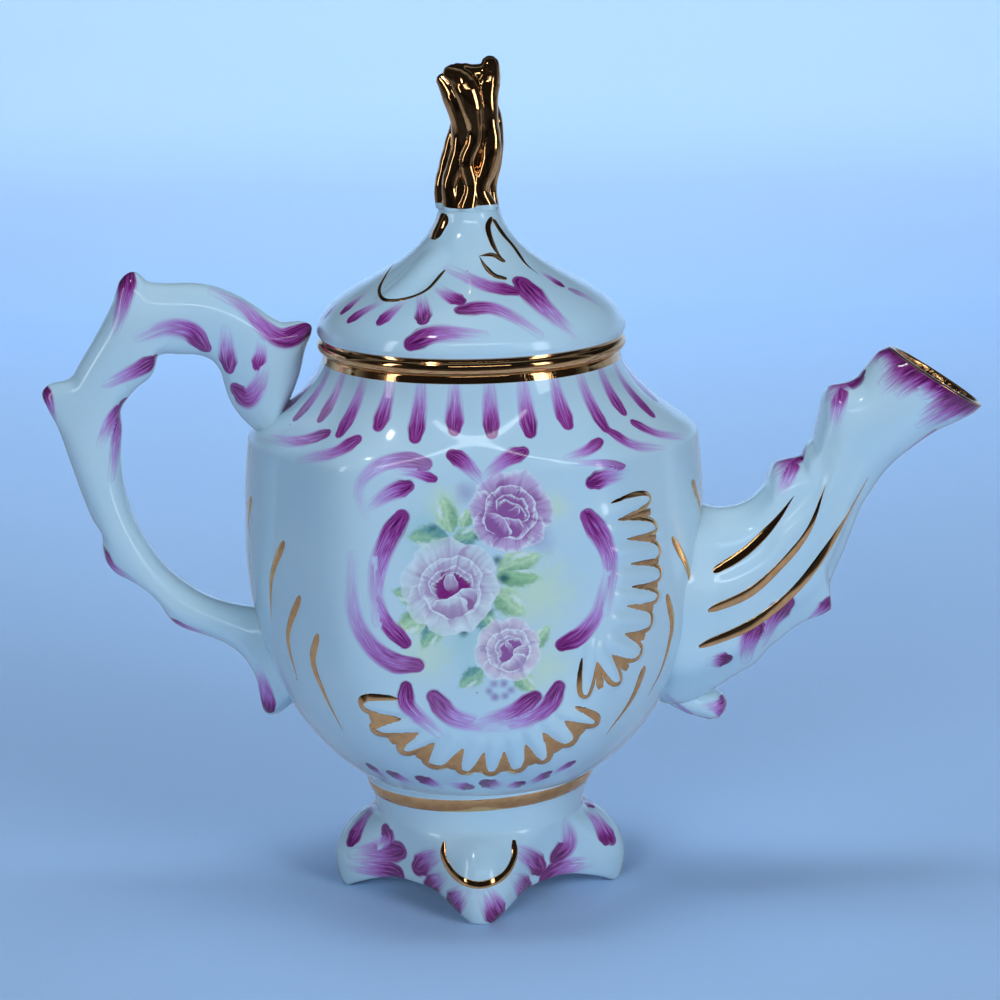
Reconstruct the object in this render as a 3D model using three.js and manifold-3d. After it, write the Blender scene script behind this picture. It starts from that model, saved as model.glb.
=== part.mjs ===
// Miniature porcelain teapot with a lift-off lid, on a pedestal foot of four lobes.
// Millimetres, +Z up, spout toward +X, handle toward -X, table at z = 0.

import * as THREE from "three";
import { mergeVertices } from "three/addons/utils/BufferGeometryUtils.js";
import Module from "manifold-3d";

const wasm = await Module();
wasm.setup();

// Reach of both ends from the pot's upright axis
const SPOUT_REACH = 72.2;
const HANDLE_REACH = 60.8;

// Body: a round seat swells to a soft octagon, and a swept collar draws it in to a round mouth
const FOOT_HEIGHT = 18;
const BELLY_RISE = 34;
const FLANK_RISE = 15.4;
const COLLAR_RISE = 11.6;
const BODY_HALF_WIDTH = 33;
const BODY_HALF_DEPTH = 25.3;
const SHOULDER_DRAW = 0.8;
const FRONT_FACET_HALF = 18;
const END_FACET_HALF = 6.6;
const SEAT_RADIUS = 16.8;
const MOUTH_RADIUS = 20.8;
const WALL = 2.4;
const BOWL_FULLNESS = 2.1;
const COLLAR_SWEEP = 1.65;
const FACET_CRISPNESS = 14;
const BOWL_CROWDING = 1.3;

// Strainer: one hole in the middle and a ring of holes, through the wall behind the spout
const STRAINER_HOLE = 3;
const STRAINER_PITCH = 4.8;
const STRAINER_RING = 6;
const STRAINER_HEIGHT = 44;

// Pedestal foot: a swept neck over four pointed lobes, with an arch between each two lobes
const FOOT_REACH = 21;
const FOOT_VALLEY = 14.2;
const FOOT_TOE_ROUND = 1.4;
const FOOT_WAIST = 15;
const FOOT_LOBE_HEIGHT = 11.7;
const FOOT_SWELL_HEIGHT = 4;
const LOBE_FULLNESS = 1.4;
const LOBE_SOFTNESS = 2;
const TOE_SHARPNESS = 5;
const NECK_SWEEP = 1.9;
const ARCH_HALF_SPAN = 11;
const ARCH_HEIGHT = 3.2;
const RECESS_RADIUS = 12.4;
const RECESS_DEPTH = 13;

// Spout: the pouring lip's two ends, the root's lower end and the widths along the way
const SPOUT_FOOT = 30.2;
const SPOUT_LIP_TOP = 77.9;
const SPOUT_ROOT_WIDTH = 18;
const SPOUT_THROAT_WIDTH = 11.6;
const SPOUT_LIP_WIDTH = 13;
const SPOUT_WALL = 2;
const SPOUT_BEAK = 0.3;
const BEAK_START = 0.6;
const FLUTES = 8;
const FLUTE_DEPTH = 0.4;
const FLUTE_END = 0.85;
const SPOUT_KNOP_LENGTH = 3.4;
const SPOUT_KNOP_DEPTH = 2.8;
const SPOUT_KNOP_WIDTH = 3.2;
const SPOUT_BACK_KNOPS = [0.41, 0.69];
const SPOUT_BELLY_KNOP = 0.42;
const SPOUT_TAIL_LENGTH = 4.8;
const SPOUT_TAIL_DEPTH = 3.1;
const SPOUT_TAIL_WIDTH = 4.2;
const SPOUT_TAIL_LEAN = 1.45;

// Handle: a scroll of leaves between an outer and an inner rail, with thorns where leaves end
const HANDLE_LOW_ROOT = 36.5;
const HANDLE_CROWN = 88.9;
const GRIP_WIDTH = 6.6;
const HANDLE_ROOT_WIDTH = 9.4;
const THORN_RADIUS = 2.9;
const THORN_TAPER = 0.8;
const CROWN_THORN_LENGTH = 6.4;
const CROWN_THORN_LEAN = 0.2;
const CROWN_PLACE = 0.615;
const HEEL_PLACE = 0.46;
const HEEL_SINK = 0.4;
const HANDLE_KNOP_LENGTH = 3.8;
const HANDLE_KNOP_DEPTH = 2.2;
const HANDLE_KNOP_WIDTH = 2.6;
const HANDLE_KNOPS = [0.18, 0.3];
const HANDLE_TAIL_LENGTH = 5.4;
const HANDLE_TAIL_DEPTH = 2.4;
const HANDLE_TAIL_LEAN = -0.3;
const HANDLE_TAIL_PLACE = 0.04;

// Lid: a swept dome that rests on the mouth, with a locating flange inside it
const LID_RADIUS = 21.8;
const LID_RIM_RISE = 2.8;
const LID_DOME_RISE = 17;
const LID_APEX_RADIUS = 4.3;
const LID_WALL = 2.4;
const DOME_EDGE_DRAW = 1;
const DOME_SHOULDER = 0.33;
const DOME_SWEEP = 0.45;
const DOME_SWEEP_RADIUS = 6.45;
const FLANGE_DEPTH = 6.5;
const FLANGE_WALL = 2.2;
const LID_CLEARANCE = 0.6;

// Finial: a furrowed stem that parts into two buds
const FINIAL_HEIGHT = 21.2;
const FINIAL_BASE_RADIUS = 4.2;
const FINIAL_NECK_RADIUS = 3.1;
const FURROWS = 5;
const FURROW_DEPTH = 0.4;
const STEM_SWAY = 0.9;
const STEM_TIP = 0.6;
const BUD_RADIUS = 2.1;
const BUD_LENGTH = 2.8;
const SIDE_BUD_LENGTH = 3.25;
const SIDE_BUD_LEAN = 1.27;

// Gap left where a piece is cut to the form of its neighbour
const JOINT_GAP = 0.3;

// Smoothness of the facets
const BODY_SIDES = 48;
const FOOT_SIDES = 72;
const SPOUT_SIDES = 32;
const HANDLE_SIDES = 16;
const LID_SIDES = 40;
const FINIAL_SIDES = 25;
const KNOP_SIDES = 14;
const KNOP_BANDS = 8;
const THORN_SIDES = 12;
const HOLE_SIDES = 10;

// Heights that follow from the sizes above
const BELLY_Z = FOOT_HEIGHT + BELLY_RISE;
const SHOULDER_Z = BELLY_Z + FLANK_RISE;
const MOUTH_Z = SHOULDER_Z + COLLAR_RISE;

const { lerp, smoothstep } = THREE.MathUtils;
const TURN = 2 * Math.PI;

// Common operations

/** Steps from one value to another, both ends included. */
function steps(from, to, count) {
  return Array.from({ length: count + 1 }, (_, i) => lerp(from, to, i / count));
}

/** One closed ring of points, from a function of the angle round it. */
function ring(sides, place) {
  return Array.from({ length: sides }, (_, i) => place((i / sides) * TURN));
}

/** Skins a closed solid through rings of equal counts, with a cap at each end. */
function loft(rings) {
  const count = rings[0].length;
  const points = rings.flat();
  const faces = [];
  for (let i = 0; i + 1 < rings.length; i++) {
    for (let j = 0; j < count; j++) {
      const a = i * count + j;
      const b = i * count + ((j + 1) % count);
      faces.push([a, b, b + count], [a, b + count, a + count]);
    }
  }
  const lastStart = (rings.length - 1) * count;
  const middles = [rings[0], rings.at(-1)].map(middleOf);
  const lowMiddle = points.length;
  points.push(...middles);
  for (let j = 0; j < count; j++) {
    const next = (j + 1) % count;
    faces.push([lowMiddle, next, j], [lowMiddle + 1, lastStart + j, lastStart + next]);
  }
  const geometry = new THREE.BufferGeometry().setFromPoints(points);
  geometry.setIndex(facesOutward(points, faces).flat());
  return geometry;
}

function middleOf(points) {
  const sum = points.reduce((total, point) => total.add(point), new THREE.Vector3());
  return sum.divideScalar(points.length);
}

/** Turns the faces round if they enclose a negative volume. */
function facesOutward(points, faces) {
  const across = new THREE.Vector3();
  const volume = faces.reduce((sum, [a, b, c]) => {
    across.crossVectors(points[b], points[c]);
    return sum + points[a].dot(across);
  }, 0);
  return volume > 0 ? faces : faces.map(([a, b, c]) => [a, c, b]);
}

/** Merges a geometry's shared points and drops the faces that this closes up. */
function merged(geometry) {
  const bare = geometry.clone();
  bare.deleteAttribute("normal");
  bare.deleteAttribute("uv");
  const welded = mergeVertices(bare);
  const faces = [];
  const index = welded.index.array;
  for (let i = 0; i < index.length; i += 3) {
    const [a, b, c] = index.slice(i, i + 3);
    if (a !== b && b !== c && c !== a) {
      faces.push(a, b, c);
    }
  }
  welded.setIndex(faces);
  return welded;
}

function toSolid(geometry) {
  const welded = merged(geometry);
  const vertProperties = new Float32Array(welded.attributes.position.array);
  const triVerts = new Uint32Array(welded.index.array);
  return new wasm.Manifold(new wasm.Mesh({ numProp: 3, vertProperties, triVerts }));
}

function toGeometry(solid) {
  const { vertProperties, triVerts } = solid.getMesh();
  const geometry = new THREE.BufferGeometry();
  geometry.setAttribute("position", new THREE.BufferAttribute(vertProperties, 3));
  geometry.setIndex(new THREE.BufferAttribute(triVerts, 1));
  return geometry;
}

/** Joins the geometries in added to a first one, then cuts those in removed from it. */
function shaped(first, { added = [], removed = [] }) {
  let solid = toSolid(first);
  for (const piece of added) {
    solid = solid.add(toSolid(piece));
  }
  for (const piece of removed) {
    solid = solid.subtract(toSolid(piece));
  }
  return toGeometry(solid);
}

/** A turned solid about Z, from a profile of [radius, height] points that ends on the axis. */
function turned(profile, sides) {
  const points = profile.map(([radius, height]) => new THREE.Vector2(radius, height));
  return new THREE.LatheGeometry(points, sides).rotateX(Math.PI / 2);
}

/** A value along a run, drawn smoothly through equally spaced ones. */
function through(values) {
  const curve = new THREE.SplineCurve(values.map((value, i) => new THREE.Vector2(i, value)));
  return (t) => curve.getPoint(t).y;
}

/** A smooth rounded lump in the plane of the spout and handle, leaning from upright. */
function knop(x, z, { length, depth, width, lean = 0 }) {
  return new THREE.SphereGeometry(1, KNOP_SIDES, KNOP_BANDS)
    .rotateX(Math.PI / 2)
    .scale(depth, width, length)
    .rotateY(lean)
    .translate(x, 0, z);
}

/** A thorn that stands on a rounded base and bends to its tip, leaning from upright. */
function thorn(x, z, { length, radius, lean }) {
  const profile = steps(0, 1, 6).map((t) => [radius * (1 - t) ** THORN_TAPER, length * t]);
  return turned([[0, 0], ...profile], THORN_SIDES).rotateY(lean).translate(x, 0, z);
}

// Body

/** Distance from the axis to a soft octagon, broad in front and narrow at the ends. */
function octagon(angle, halfWidth, halfDepth) {
  const cos = Math.abs(Math.cos(angle));
  const sin = Math.abs(Math.sin(angle));
  const frontHalf = FRONT_FACET_HALF * (halfWidth / BODY_HALF_WIDTH);
  const endHalf = END_FACET_HALF * (halfDepth / BODY_HALF_DEPTH);
  const corner = new THREE.Vector2(halfDepth - endHalf, halfWidth - frontHalf).normalize();
  const cornerReach = corner.x * frontHalf + corner.y * halfDepth;
  const faces = [cos / halfWidth, sin / halfDepth, (corner.x * cos + corner.y * sin) / cornerReach];
  return faces.reduce((sum, face) => sum + face ** FACET_CRISPNESS, 0) ** (-1 / FACET_CRISPNESS);
}

function oval(angle, halfWidth, halfDepth) {
  return 1 / Math.hypot(Math.cos(angle) / halfWidth, Math.sin(angle) / halfDepth);
}

/** Share of the belly's size that the bowl has at a height under the belly. */
function bowlShare(z) {
  const seatShare = (SEAT_RADIUS / BODY_HALF_WIDTH) ** BOWL_FULLNESS;
  const depth = BELLY_RISE / (1 - seatShare) ** (1 / BOWL_FULLNESS);
  const below = Math.max(0, BELLY_Z - z) / depth;
  return (1 - below ** BOWL_FULLNESS) ** (1 / BOWL_FULLNESS);
}

/** The body's section at a height, grown outward and with its collar raised by the same amount. */
function bodySection(z, grown = 0) {
  const shoulderZ = SHOULDER_Z + grown;
  const mouthZ = MOUTH_Z + grown;
  const down = Math.max(0, BELLY_Z - z) / BELLY_RISE;
  const up = THREE.MathUtils.clamp((z - BELLY_Z) / (shoulderZ - BELLY_Z), 0, 1);
  const share = bowlShare(z) - (SHOULDER_DRAW / BODY_HALF_WIDTH) * up ** 2;
  const aspect = lerp(BODY_HALF_DEPTH / BODY_HALF_WIDTH, 1, smoothstep(down, 0, 1));
  const halfWidth = BODY_HALF_WIDTH * share + grown;
  const halfDepth = BODY_HALF_WIDTH * share * aspect + grown;
  const faceted = 1 - smoothstep(down, 0, 1);
  const spread = THREE.MathUtils.clamp((mouthZ - z) / (mouthZ - shoulderZ), 0, 1) ** COLLAR_SWEEP;
  return ring(BODY_SIDES, (angle) => {
    const round = oval(angle, halfWidth, halfDepth);
    const shell = lerp(round, octagon(angle, halfWidth, halfDepth), faceted);
    const radius = lerp(MOUTH_RADIUS + grown, shell, spread);
    return new THREE.Vector3(radius * Math.cos(angle), radius * Math.sin(angle), z);
  });
}

/** Heights that follow the bowl, the flank and the collar from a floor to a mouth. */
function bodyHeights(floorZ, shoulderZ, mouthZ) {
  const bowl = steps(0, 1, 8).map((t) => lerp(floorZ, BELLY_Z, t ** BOWL_CROWDING));
  const flank = steps(BELLY_Z, shoulderZ, 2).slice(1);
  const collar = steps(shoulderZ, mouthZ, 5).slice(1);
  return [...bowl, ...flank, ...collar];
}

/** The body's outer form as a solid, grown by a gap, for cutting the pieces that sit on it. */
function bodyForm(grown) {
  const heights = bodyHeights(FOOT_HEIGHT, SHOULDER_Z + grown, MOUTH_Z + grown);
  return loft(heights.map((z) => bodySection(z, grown)));
}

function strainerHoles() {
  const holeLength = 3 * WALL + SHOULDER_DRAW;
  const ringPlaces = steps(0, TURN, STRAINER_RING).slice(1);
  const ringed = ringPlaces.map((a) => [STRAINER_PITCH * Math.cos(a), STRAINER_PITCH * Math.sin(a)]);
  return [[0, 0], ...ringed].map(([y, z]) =>
    new THREE.CylinderGeometry(STRAINER_HOLE / 2, STRAINER_HOLE / 2, 2 * holeLength, HOLE_SIDES)
      .rotateZ(Math.PI / 2)
      .translate(BODY_HALF_WIDTH - WALL, y, STRAINER_HEIGHT + z));
}

function bodyShell() {
  const outside = bodyHeights(FOOT_HEIGHT, SHOULDER_Z, MOUTH_Z);
  const inside = bodyHeights(FOOT_HEIGHT + WALL, SHOULDER_Z - WALL, MOUTH_Z - WALL);
  const inner = [...inside, MOUTH_Z].reverse().map((z) => bodySection(z, -WALL));
  const shell = loft([...outside.map((z) => bodySection(z)), ...inner]);
  return shaped(shell, { removed: strainerHoles() });
}

// Pedestal foot

/** How far the foot reaches at an angle and a height: lobes that grow more pointed toward the table. */
function lobeReach(angle, z) {
  const low = 1 - z / FOOT_LOBE_HEIGHT;
  const point = lerp(LOBE_SOFTNESS, TOE_SHARPNESS, low);
  const swell = lerp(FOOT_VALLEY, FOOT_REACH, Math.abs(Math.cos(2 * angle)) ** point);
  if (z < FOOT_SWELL_HEIGHT) {
    const below = 1 - z / FOOT_SWELL_HEIGHT;
    return swell - FOOT_TOE_ROUND * (1 - Math.sqrt(1 - below ** 2));
  }
  const above = (z - FOOT_SWELL_HEIGHT) / (FOOT_LOBE_HEIGHT - FOOT_SWELL_HEIGHT);
  return lerp(FOOT_WAIST, swell, (1 - above ** LOBE_FULLNESS) ** (1 / LOBE_FULLNESS));
}

/** The neck that sweeps out from the waist above the lobes to the seat under the bowl. */
function neckReach(z) {
  const above = (z - FOOT_LOBE_HEIGHT) / (FOOT_HEIGHT - FOOT_LOBE_HEIGHT);
  return lerp(FOOT_WAIST, SEAT_RADIUS, above ** NECK_SWEEP);
}

function footRing(z) {
  return ring(FOOT_SIDES, (angle) => {
    const radius = z < FOOT_LOBE_HEIGHT ? lobeReach(angle, z) : neckReach(z);
    return new THREE.Vector3(radius * Math.cos(angle), radius * Math.sin(angle), z);
  });
}

/** A round bar laid across the foot under the table's plane, whose top is one arch's curve. */
function footArch(angle) {
  const radius = (ARCH_HALF_SPAN ** 2 + ARCH_HEIGHT ** 2) / (2 * ARCH_HEIGHT);
  return new THREE.CylinderGeometry(radius, radius, 4 * FOOT_REACH, 40)
    .rotateZ(Math.PI / 2)
    .translate(0, 0, ARCH_HEIGHT - radius)
    .rotateZ(angle);
}

function pedestalFoot() {
  const toes = steps(0, FOOT_SWELL_HEIGHT, 3);
  const lobes = steps(FOOT_SWELL_HEIGHT, FOOT_LOBE_HEIGHT, 5).slice(1);
  const neck = steps(FOOT_LOBE_HEIGHT, FOOT_HEIGHT, 4).slice(1);
  const arches = [footArch(TURN / 8), footArch(-TURN / 8)];
  const quarter = steps(0, TURN / 4, 5);
  const dome = quarter.map((a) => [RECESS_RADIUS * Math.cos(a), RECESS_DEPTH * Math.sin(a)]);
  const recess = turned([[0, -WALL], [RECESS_RADIUS, -WALL], ...dome], FOOT_SIDES / 2);
  return shaped(loft([...toes, ...lobes, ...neck].map(footRing)), { removed: [recess, ...arches] });
}

// Spout

/** A rail of the spout, from shares of its reach out of the body and of its rise to the lip. */
function spoutRail(shares) {
  const reach = SPOUT_REACH - BODY_HALF_WIDTH;
  const rise = SPOUT_LIP_TOP - SPOUT_FOOT;
  return new THREE.SplineCurve(shares.map(([out, up]) =>
    new THREE.Vector2(BODY_HALF_WIDTH + out * reach, SPOUT_FOOT + up * rise)));
}

const spoutBack = spoutRail([
  [-0.2, 0.5], [0.04, 0.525], [0.19, 0.57], [0.31, 0.66],
  [0.4, 0.77], [0.475, 0.875], [0.565, 0.94], [0.67, 1]]);
const spoutBelly = spoutRail([
  [-0.3, -0.06], [0.08, 0], [0.27, 0.115], [0.44, 0.24],
  [0.52, 0.42], [0.61, 0.575], [0.745, 0.695], [1, 0.82]]);
const spoutWidth = through([SPOUT_ROOT_WIDTH, SPOUT_ROOT_WIDTH, SPOUT_THROAT_WIDTH, SPOUT_LIP_WIDTH]);

/** A section of the spout between its two rails, drawn to a beak at the lip, inset by a wall. */
function spoutSection(t, inset, fluteDepth, pushed = 0) {
  const back = spoutBack.getPoint(t);
  const belly = spoutBelly.getPoint(t);
  const middle = back.clone().lerp(belly, 0.5);
  const along = back.clone().sub(belly);
  const halfLength = along.length() / 2 - inset;
  const halfWidth = spoutWidth(t) / 2 - inset;
  const beak = SPOUT_BEAK * smoothstep(t, BEAK_START, 1);
  along.normalize();
  const outward = new THREE.Vector2(along.y, -along.x).multiplyScalar(pushed);
  return ring(SPOUT_SIDES, (angle) => {
    const flute = fluteDepth * Math.cos(FLUTES * angle);
    const lengthwise = (halfLength + flute) * Math.cos(angle);
    const crosswise = (halfWidth + flute) * Math.sin(angle) * (1 + beak * Math.cos(angle));
    const place = middle.clone().addScaledVector(along, lengthwise).add(outward);
    return new THREE.Vector3(place.x, -crosswise, place.y);
  });
}

/** A leaf's end laid along a rail, sunk by half its depth toward the facing rail. */
function leafEnd(rail, facing, t, size) {
  const place = rail.getPoint(t);
  const inward = facing.getPoint(t).sub(place).setLength(size.depth / 2);
  const along = rail.getTangent(t);
  place.add(inward);
  return knop(place.x, place.y, { ...size, lean: Math.atan2(along.x, along.y) });
}

function spout() {
  const stations = steps(0, 1, 15);
  const fluteDepth = (t) => FLUTE_DEPTH * (1 - smoothstep(t, FLUTE_END, 1));
  const skin = loft(stations.map((t) => spoutSection(t, 0, fluteDepth(t))));
  const bore = loft([
    ...stations.map((t) => spoutSection(t, SPOUT_WALL, 0)),
    spoutSection(1, SPOUT_WALL, 0, SPOUT_WALL)]);
  const knopSize = { length: SPOUT_KNOP_LENGTH, depth: SPOUT_KNOP_DEPTH, width: SPOUT_KNOP_WIDTH };
  const tail = knop(BODY_HALF_WIDTH - WALL / 2, SPOUT_FOOT - SPOUT_TAIL_DEPTH, {
    length: SPOUT_TAIL_LENGTH, depth: SPOUT_TAIL_DEPTH, width: SPOUT_TAIL_WIDTH, lean: SPOUT_TAIL_LEAN });
  const added = [
    ...SPOUT_BACK_KNOPS.map((t) => leafEnd(spoutBack, spoutBelly, t, knopSize)),
    leafEnd(spoutBelly, spoutBack, SPOUT_BELLY_KNOP, knopSize),
    tail];
  return shaped(skin, { added, removed: [bore, bodyForm(JOINT_GAP)] });
}

// Handle

/** A rail of the handle, from shares of its reach out of the body and of its rise to the crown. */
function handleRail(shares) {
  const reach = HANDLE_REACH - BODY_HALF_WIDTH;
  return new THREE.SplineCurve(shares.map(([out, up]) =>
    new THREE.Vector2(-BODY_HALF_WIDTH - out * reach, lerp(HANDLE_LOW_ROOT, HANDLE_CROWN, up))));
}

const handleOuter = handleRail([
  [-0.29, -0.1], [0.05, -0.025], [0.29, 0.05], [0.5, 0.155], [0.72, 0.305], [0.86, 0.505], [0.91, 0.68],
  [0.75, 0.83], [0.58, 0.98], [0.25, 1], [-0.05, 0.945], [-0.3, 0.86], [-0.33, 0.72], [-0.28, 0.6]]);
const handleInner = handleRail([
  [-0.29, 0.105], [0.04, 0.105], [0.235, 0.15], [0.41, 0.225], [0.555, 0.353], [0.61, 0.497], [0.594, 0.63],
  [0.525, 0.725], [0.415, 0.797], [0.235, 0.803], [0.1, 0.765], [0.04, 0.69], [-0.01, 0.62], [-0.06, 0.55]]);
const handleWidth = through([HANDLE_ROOT_WIDTH, GRIP_WIDTH, GRIP_WIDTH, HANDLE_ROOT_WIDTH]);

function handleSection(t) {
  const outer = handleOuter.getPoint(t);
  const middle = outer.clone().lerp(handleInner.getPoint(t), 0.5);
  const across = outer.clone().sub(middle);
  return ring(HANDLE_SIDES, (angle) => {
    const place = middle.clone().addScaledVector(across, Math.cos(angle));
    return new THREE.Vector3(place.x, (handleWidth(t) / 2) * Math.sin(angle), place.y);
  });
}

function handle() {
  const knopSize = { length: HANDLE_KNOP_LENGTH, depth: HANDLE_KNOP_DEPTH, width: HANDLE_KNOP_WIDTH };
  const crown = handleOuter.getPoint(CROWN_PLACE);
  const heel = handleOuter.getPoint(HEEL_PLACE).lerp(handleInner.getPoint(HEEL_PLACE), HEEL_SINK);
  const tail = handleOuter.getPoint(HANDLE_TAIL_PLACE);
  const added = [
    thorn(crown.x, crown.y - CROWN_THORN_LENGTH / 2, {
      length: CROWN_THORN_LENGTH, radius: THORN_RADIUS, lean: CROWN_THORN_LEAN }),
    thorn(heel.x, heel.y, { length: HANDLE_REACH + heel.x, radius: THORN_RADIUS, lean: -TURN / 4 }),
    ...HANDLE_KNOPS.map((t) => leafEnd(handleOuter, handleInner, t, knopSize)),
    knop(tail.x, tail.y - HANDLE_TAIL_LENGTH / 2, {
      length: HANDLE_TAIL_LENGTH, depth: HANDLE_TAIL_DEPTH, width: HANDLE_KNOP_WIDTH,
      lean: HANDLE_TAIL_LEAN }),
  ];
  const roomRadius = LID_RADIUS + LID_CLEARANCE;
  const roomTop = HANDLE_CROWN + CROWN_THORN_LENGTH;
  const lidRoom = turned([
    [0, MOUTH_Z], [roomRadius, MOUTH_Z], [roomRadius, roomTop], [0, roomTop]], LID_SIDES);
  const scroll = loft(steps(0, 1, 32).map(handleSection));
  return shaped(scroll, { added, removed: [bodyForm(JOINT_GAP), lidRoom] });
}

// Lid, in heights above the mouth

function lidCover() {
  const rim = new THREE.Vector2(LID_RADIUS, LID_RIM_RISE);
  const apex = new THREE.Vector2(LID_APEX_RADIUS, LID_RIM_RISE + LID_DOME_RISE);
  const dome = new THREE.CubicBezierCurve(
    rim, new THREE.Vector2(LID_RADIUS - DOME_EDGE_DRAW, LID_RIM_RISE + LID_DOME_RISE * DOME_SHOULDER),
    new THREE.Vector2(DOME_SWEEP_RADIUS, LID_RIM_RISE + LID_DOME_RISE * DOME_SWEEP), apex);
  const seatRadius = MOUTH_RADIUS - LID_CLEARANCE / 2;
  const edge = new THREE.QuadraticBezierCurve(
    new THREE.Vector2(seatRadius, 0), new THREE.Vector2(LID_RADIUS, LID_CLEARANCE), rim);
  const flangeRadius = MOUTH_RADIUS - WALL - LID_CLEARANCE;
  const hollowRadius = flangeRadius - FLANGE_WALL;
  const hollow = new THREE.CubicBezierCurve(
    new THREE.Vector2(hollowRadius, LID_RIM_RISE),
    new THREE.Vector2(hollowRadius, LID_DOME_RISE * DOME_SHOULDER),
    new THREE.Vector2(LID_APEX_RADIUS, LID_DOME_RISE * DOME_SWEEP),
    new THREE.Vector2(0, LID_RIM_RISE + LID_DOME_RISE - 2 * LID_WALL));
  const pairs = (curve, count) => curve.getPoints(count).map(({ x, y }) => [x, y]);
  return merged(turned([
    ...pairs(hollow, 6).reverse(),
    [hollowRadius, -FLANGE_DEPTH], [flangeRadius, -FLANGE_DEPTH], [flangeRadius, 0],
    ...pairs(edge, 3), ...pairs(dome, 11).slice(1),
    [0, LID_RIM_RISE + LID_DOME_RISE]], LID_SIDES));
}

// Finial, in heights above the lid's apex

function lidFinial() {
  const stemHeight = FINIAL_HEIGHT - BUD_RADIUS;
  const girth = through([
    FINIAL_BASE_RADIUS, FINIAL_BASE_RADIUS, FINIAL_BASE_RADIUS,
    FINIAL_NECK_RADIUS, STEM_TIP * FINIAL_NECK_RADIUS]);
  const stem = loft(steps(0, 1, 9).map((t) => ring(FINIAL_SIDES, (angle) => {
    const radius = girth(t) - FURROW_DEPTH * (1 - Math.cos(FURROWS * angle + t));
    const middle = STEM_SWAY * t;
    return new THREE.Vector3(middle + radius * Math.cos(angle), radius * Math.sin(angle), stemHeight * t);
  })));
  const girthOfBud = { depth: BUD_RADIUS, width: BUD_RADIUS };
  const buds = [
    knop(STEM_SWAY + BUD_RADIUS * STEM_TIP, FINIAL_HEIGHT - BUD_LENGTH, {
      ...girthOfBud, length: BUD_LENGTH }),
    knop(STEM_SWAY - BUD_RADIUS, FINIAL_HEIGHT - BUD_LENGTH, {
      ...girthOfBud, length: SIDE_BUD_LENGTH, lean: SIDE_BUD_LEAN })];
  return shaped(stem, { added: buds });
}

// Assembly

const porcelain = new THREE.MeshStandardMaterial({ color: 0xe8efe9, roughness: 0.12, metalness: 0 });
const gilding = new THREE.MeshStandardMaterial({ color: 0xc79a45, roughness: 0.2, metalness: 1 });

function piece(name, geometry, material) {
  const mesh = new THREE.Mesh(geometry, material);
  mesh.name = name;
  return mesh;
}

const lid = new THREE.Group();
lid.position.z = MOUTH_Z;
const finial = piece("lid_finial", lidFinial(), gilding);
finial.position.z = LID_RIM_RISE + LID_DOME_RISE;
lid.add(piece("lid_cover", lidCover(), porcelain), finial);

const teapot = new THREE.Group();
teapot.position.x = (HANDLE_REACH - SPOUT_REACH) / 2;
teapot.add(
  piece("pedestal_foot", pedestalFoot(), porcelain),
  piece("body_shell", bodyShell(), porcelain),
  piece("spout", spout(), porcelain),
  piece("handle", handle(), porcelain),
  lid);

export default teapot;
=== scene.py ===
import math
import bpy
import numpy as np
from mathutils import Matrix, Vector
from mathutils.bvhtree import BVHTree


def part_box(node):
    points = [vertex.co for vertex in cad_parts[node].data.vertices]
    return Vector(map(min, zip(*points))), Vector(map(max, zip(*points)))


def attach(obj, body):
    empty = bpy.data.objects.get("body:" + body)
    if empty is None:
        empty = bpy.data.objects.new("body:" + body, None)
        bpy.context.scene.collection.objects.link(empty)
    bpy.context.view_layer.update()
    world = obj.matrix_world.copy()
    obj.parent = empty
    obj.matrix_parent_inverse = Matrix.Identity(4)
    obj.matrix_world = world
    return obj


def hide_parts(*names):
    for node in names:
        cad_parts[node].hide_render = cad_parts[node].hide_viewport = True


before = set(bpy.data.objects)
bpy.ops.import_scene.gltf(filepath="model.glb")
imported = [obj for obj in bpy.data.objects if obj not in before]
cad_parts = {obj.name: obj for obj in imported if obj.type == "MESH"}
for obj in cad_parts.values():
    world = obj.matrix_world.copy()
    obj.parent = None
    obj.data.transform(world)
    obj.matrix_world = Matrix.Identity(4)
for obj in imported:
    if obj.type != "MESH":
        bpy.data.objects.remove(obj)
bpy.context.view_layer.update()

# Looks of the miniature teapot. Forms are drawn in millimetres about the pot's upright axis, with the
# spout toward +X, the front toward -Y and the table at z = 0. Decoration is placed by pixels of the
# photograph: the camera below sees each one, and it lands on the surface found there.
MM = 0.001
lid_low, lid_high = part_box("lid_cover")
AXIS = np.array([(lid_low.x + lid_high.x) / 2 / MM, 0, 0])
TURN = 2 * math.pi

# Camera of the photograph, in pixels of a square picture, millimetres and radians
PICTURE_SIDE = 1000
FOCAL = 3594.9
EYE = np.array([0, -500, 170.0])
PITCH, PAN, ROLL = 0.2227, 0.00737, -0.0164
SENSOR_MM = 36

# Body
FOOT_HEIGHT = 18
BELLY_Z = 52
SHOULDER_Z = 67.4
MOUTH_Z = 79
BODY_HALF_WIDTH = 33
BODY_HALF_DEPTH = 25.3
SHOULDER_DRAW = 0.8
SHOULDER_ROUND = 1.4
FRONT_FACET_HALF = 18
FRONT_FINE_HALF = 19.5
END_FACET_HALF = 6.6
SEAT_RADIUS = 16.8
MOUTH_RADIUS = 20.8
WALL = 2.4
BOWL_FULLNESS = 2.1
COLLAR_SWEEP = 1.65
FACET_CRISPNESS = 14
MOUTH_GILT = 1.3
COLLAR_STRIPES = 28

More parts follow.
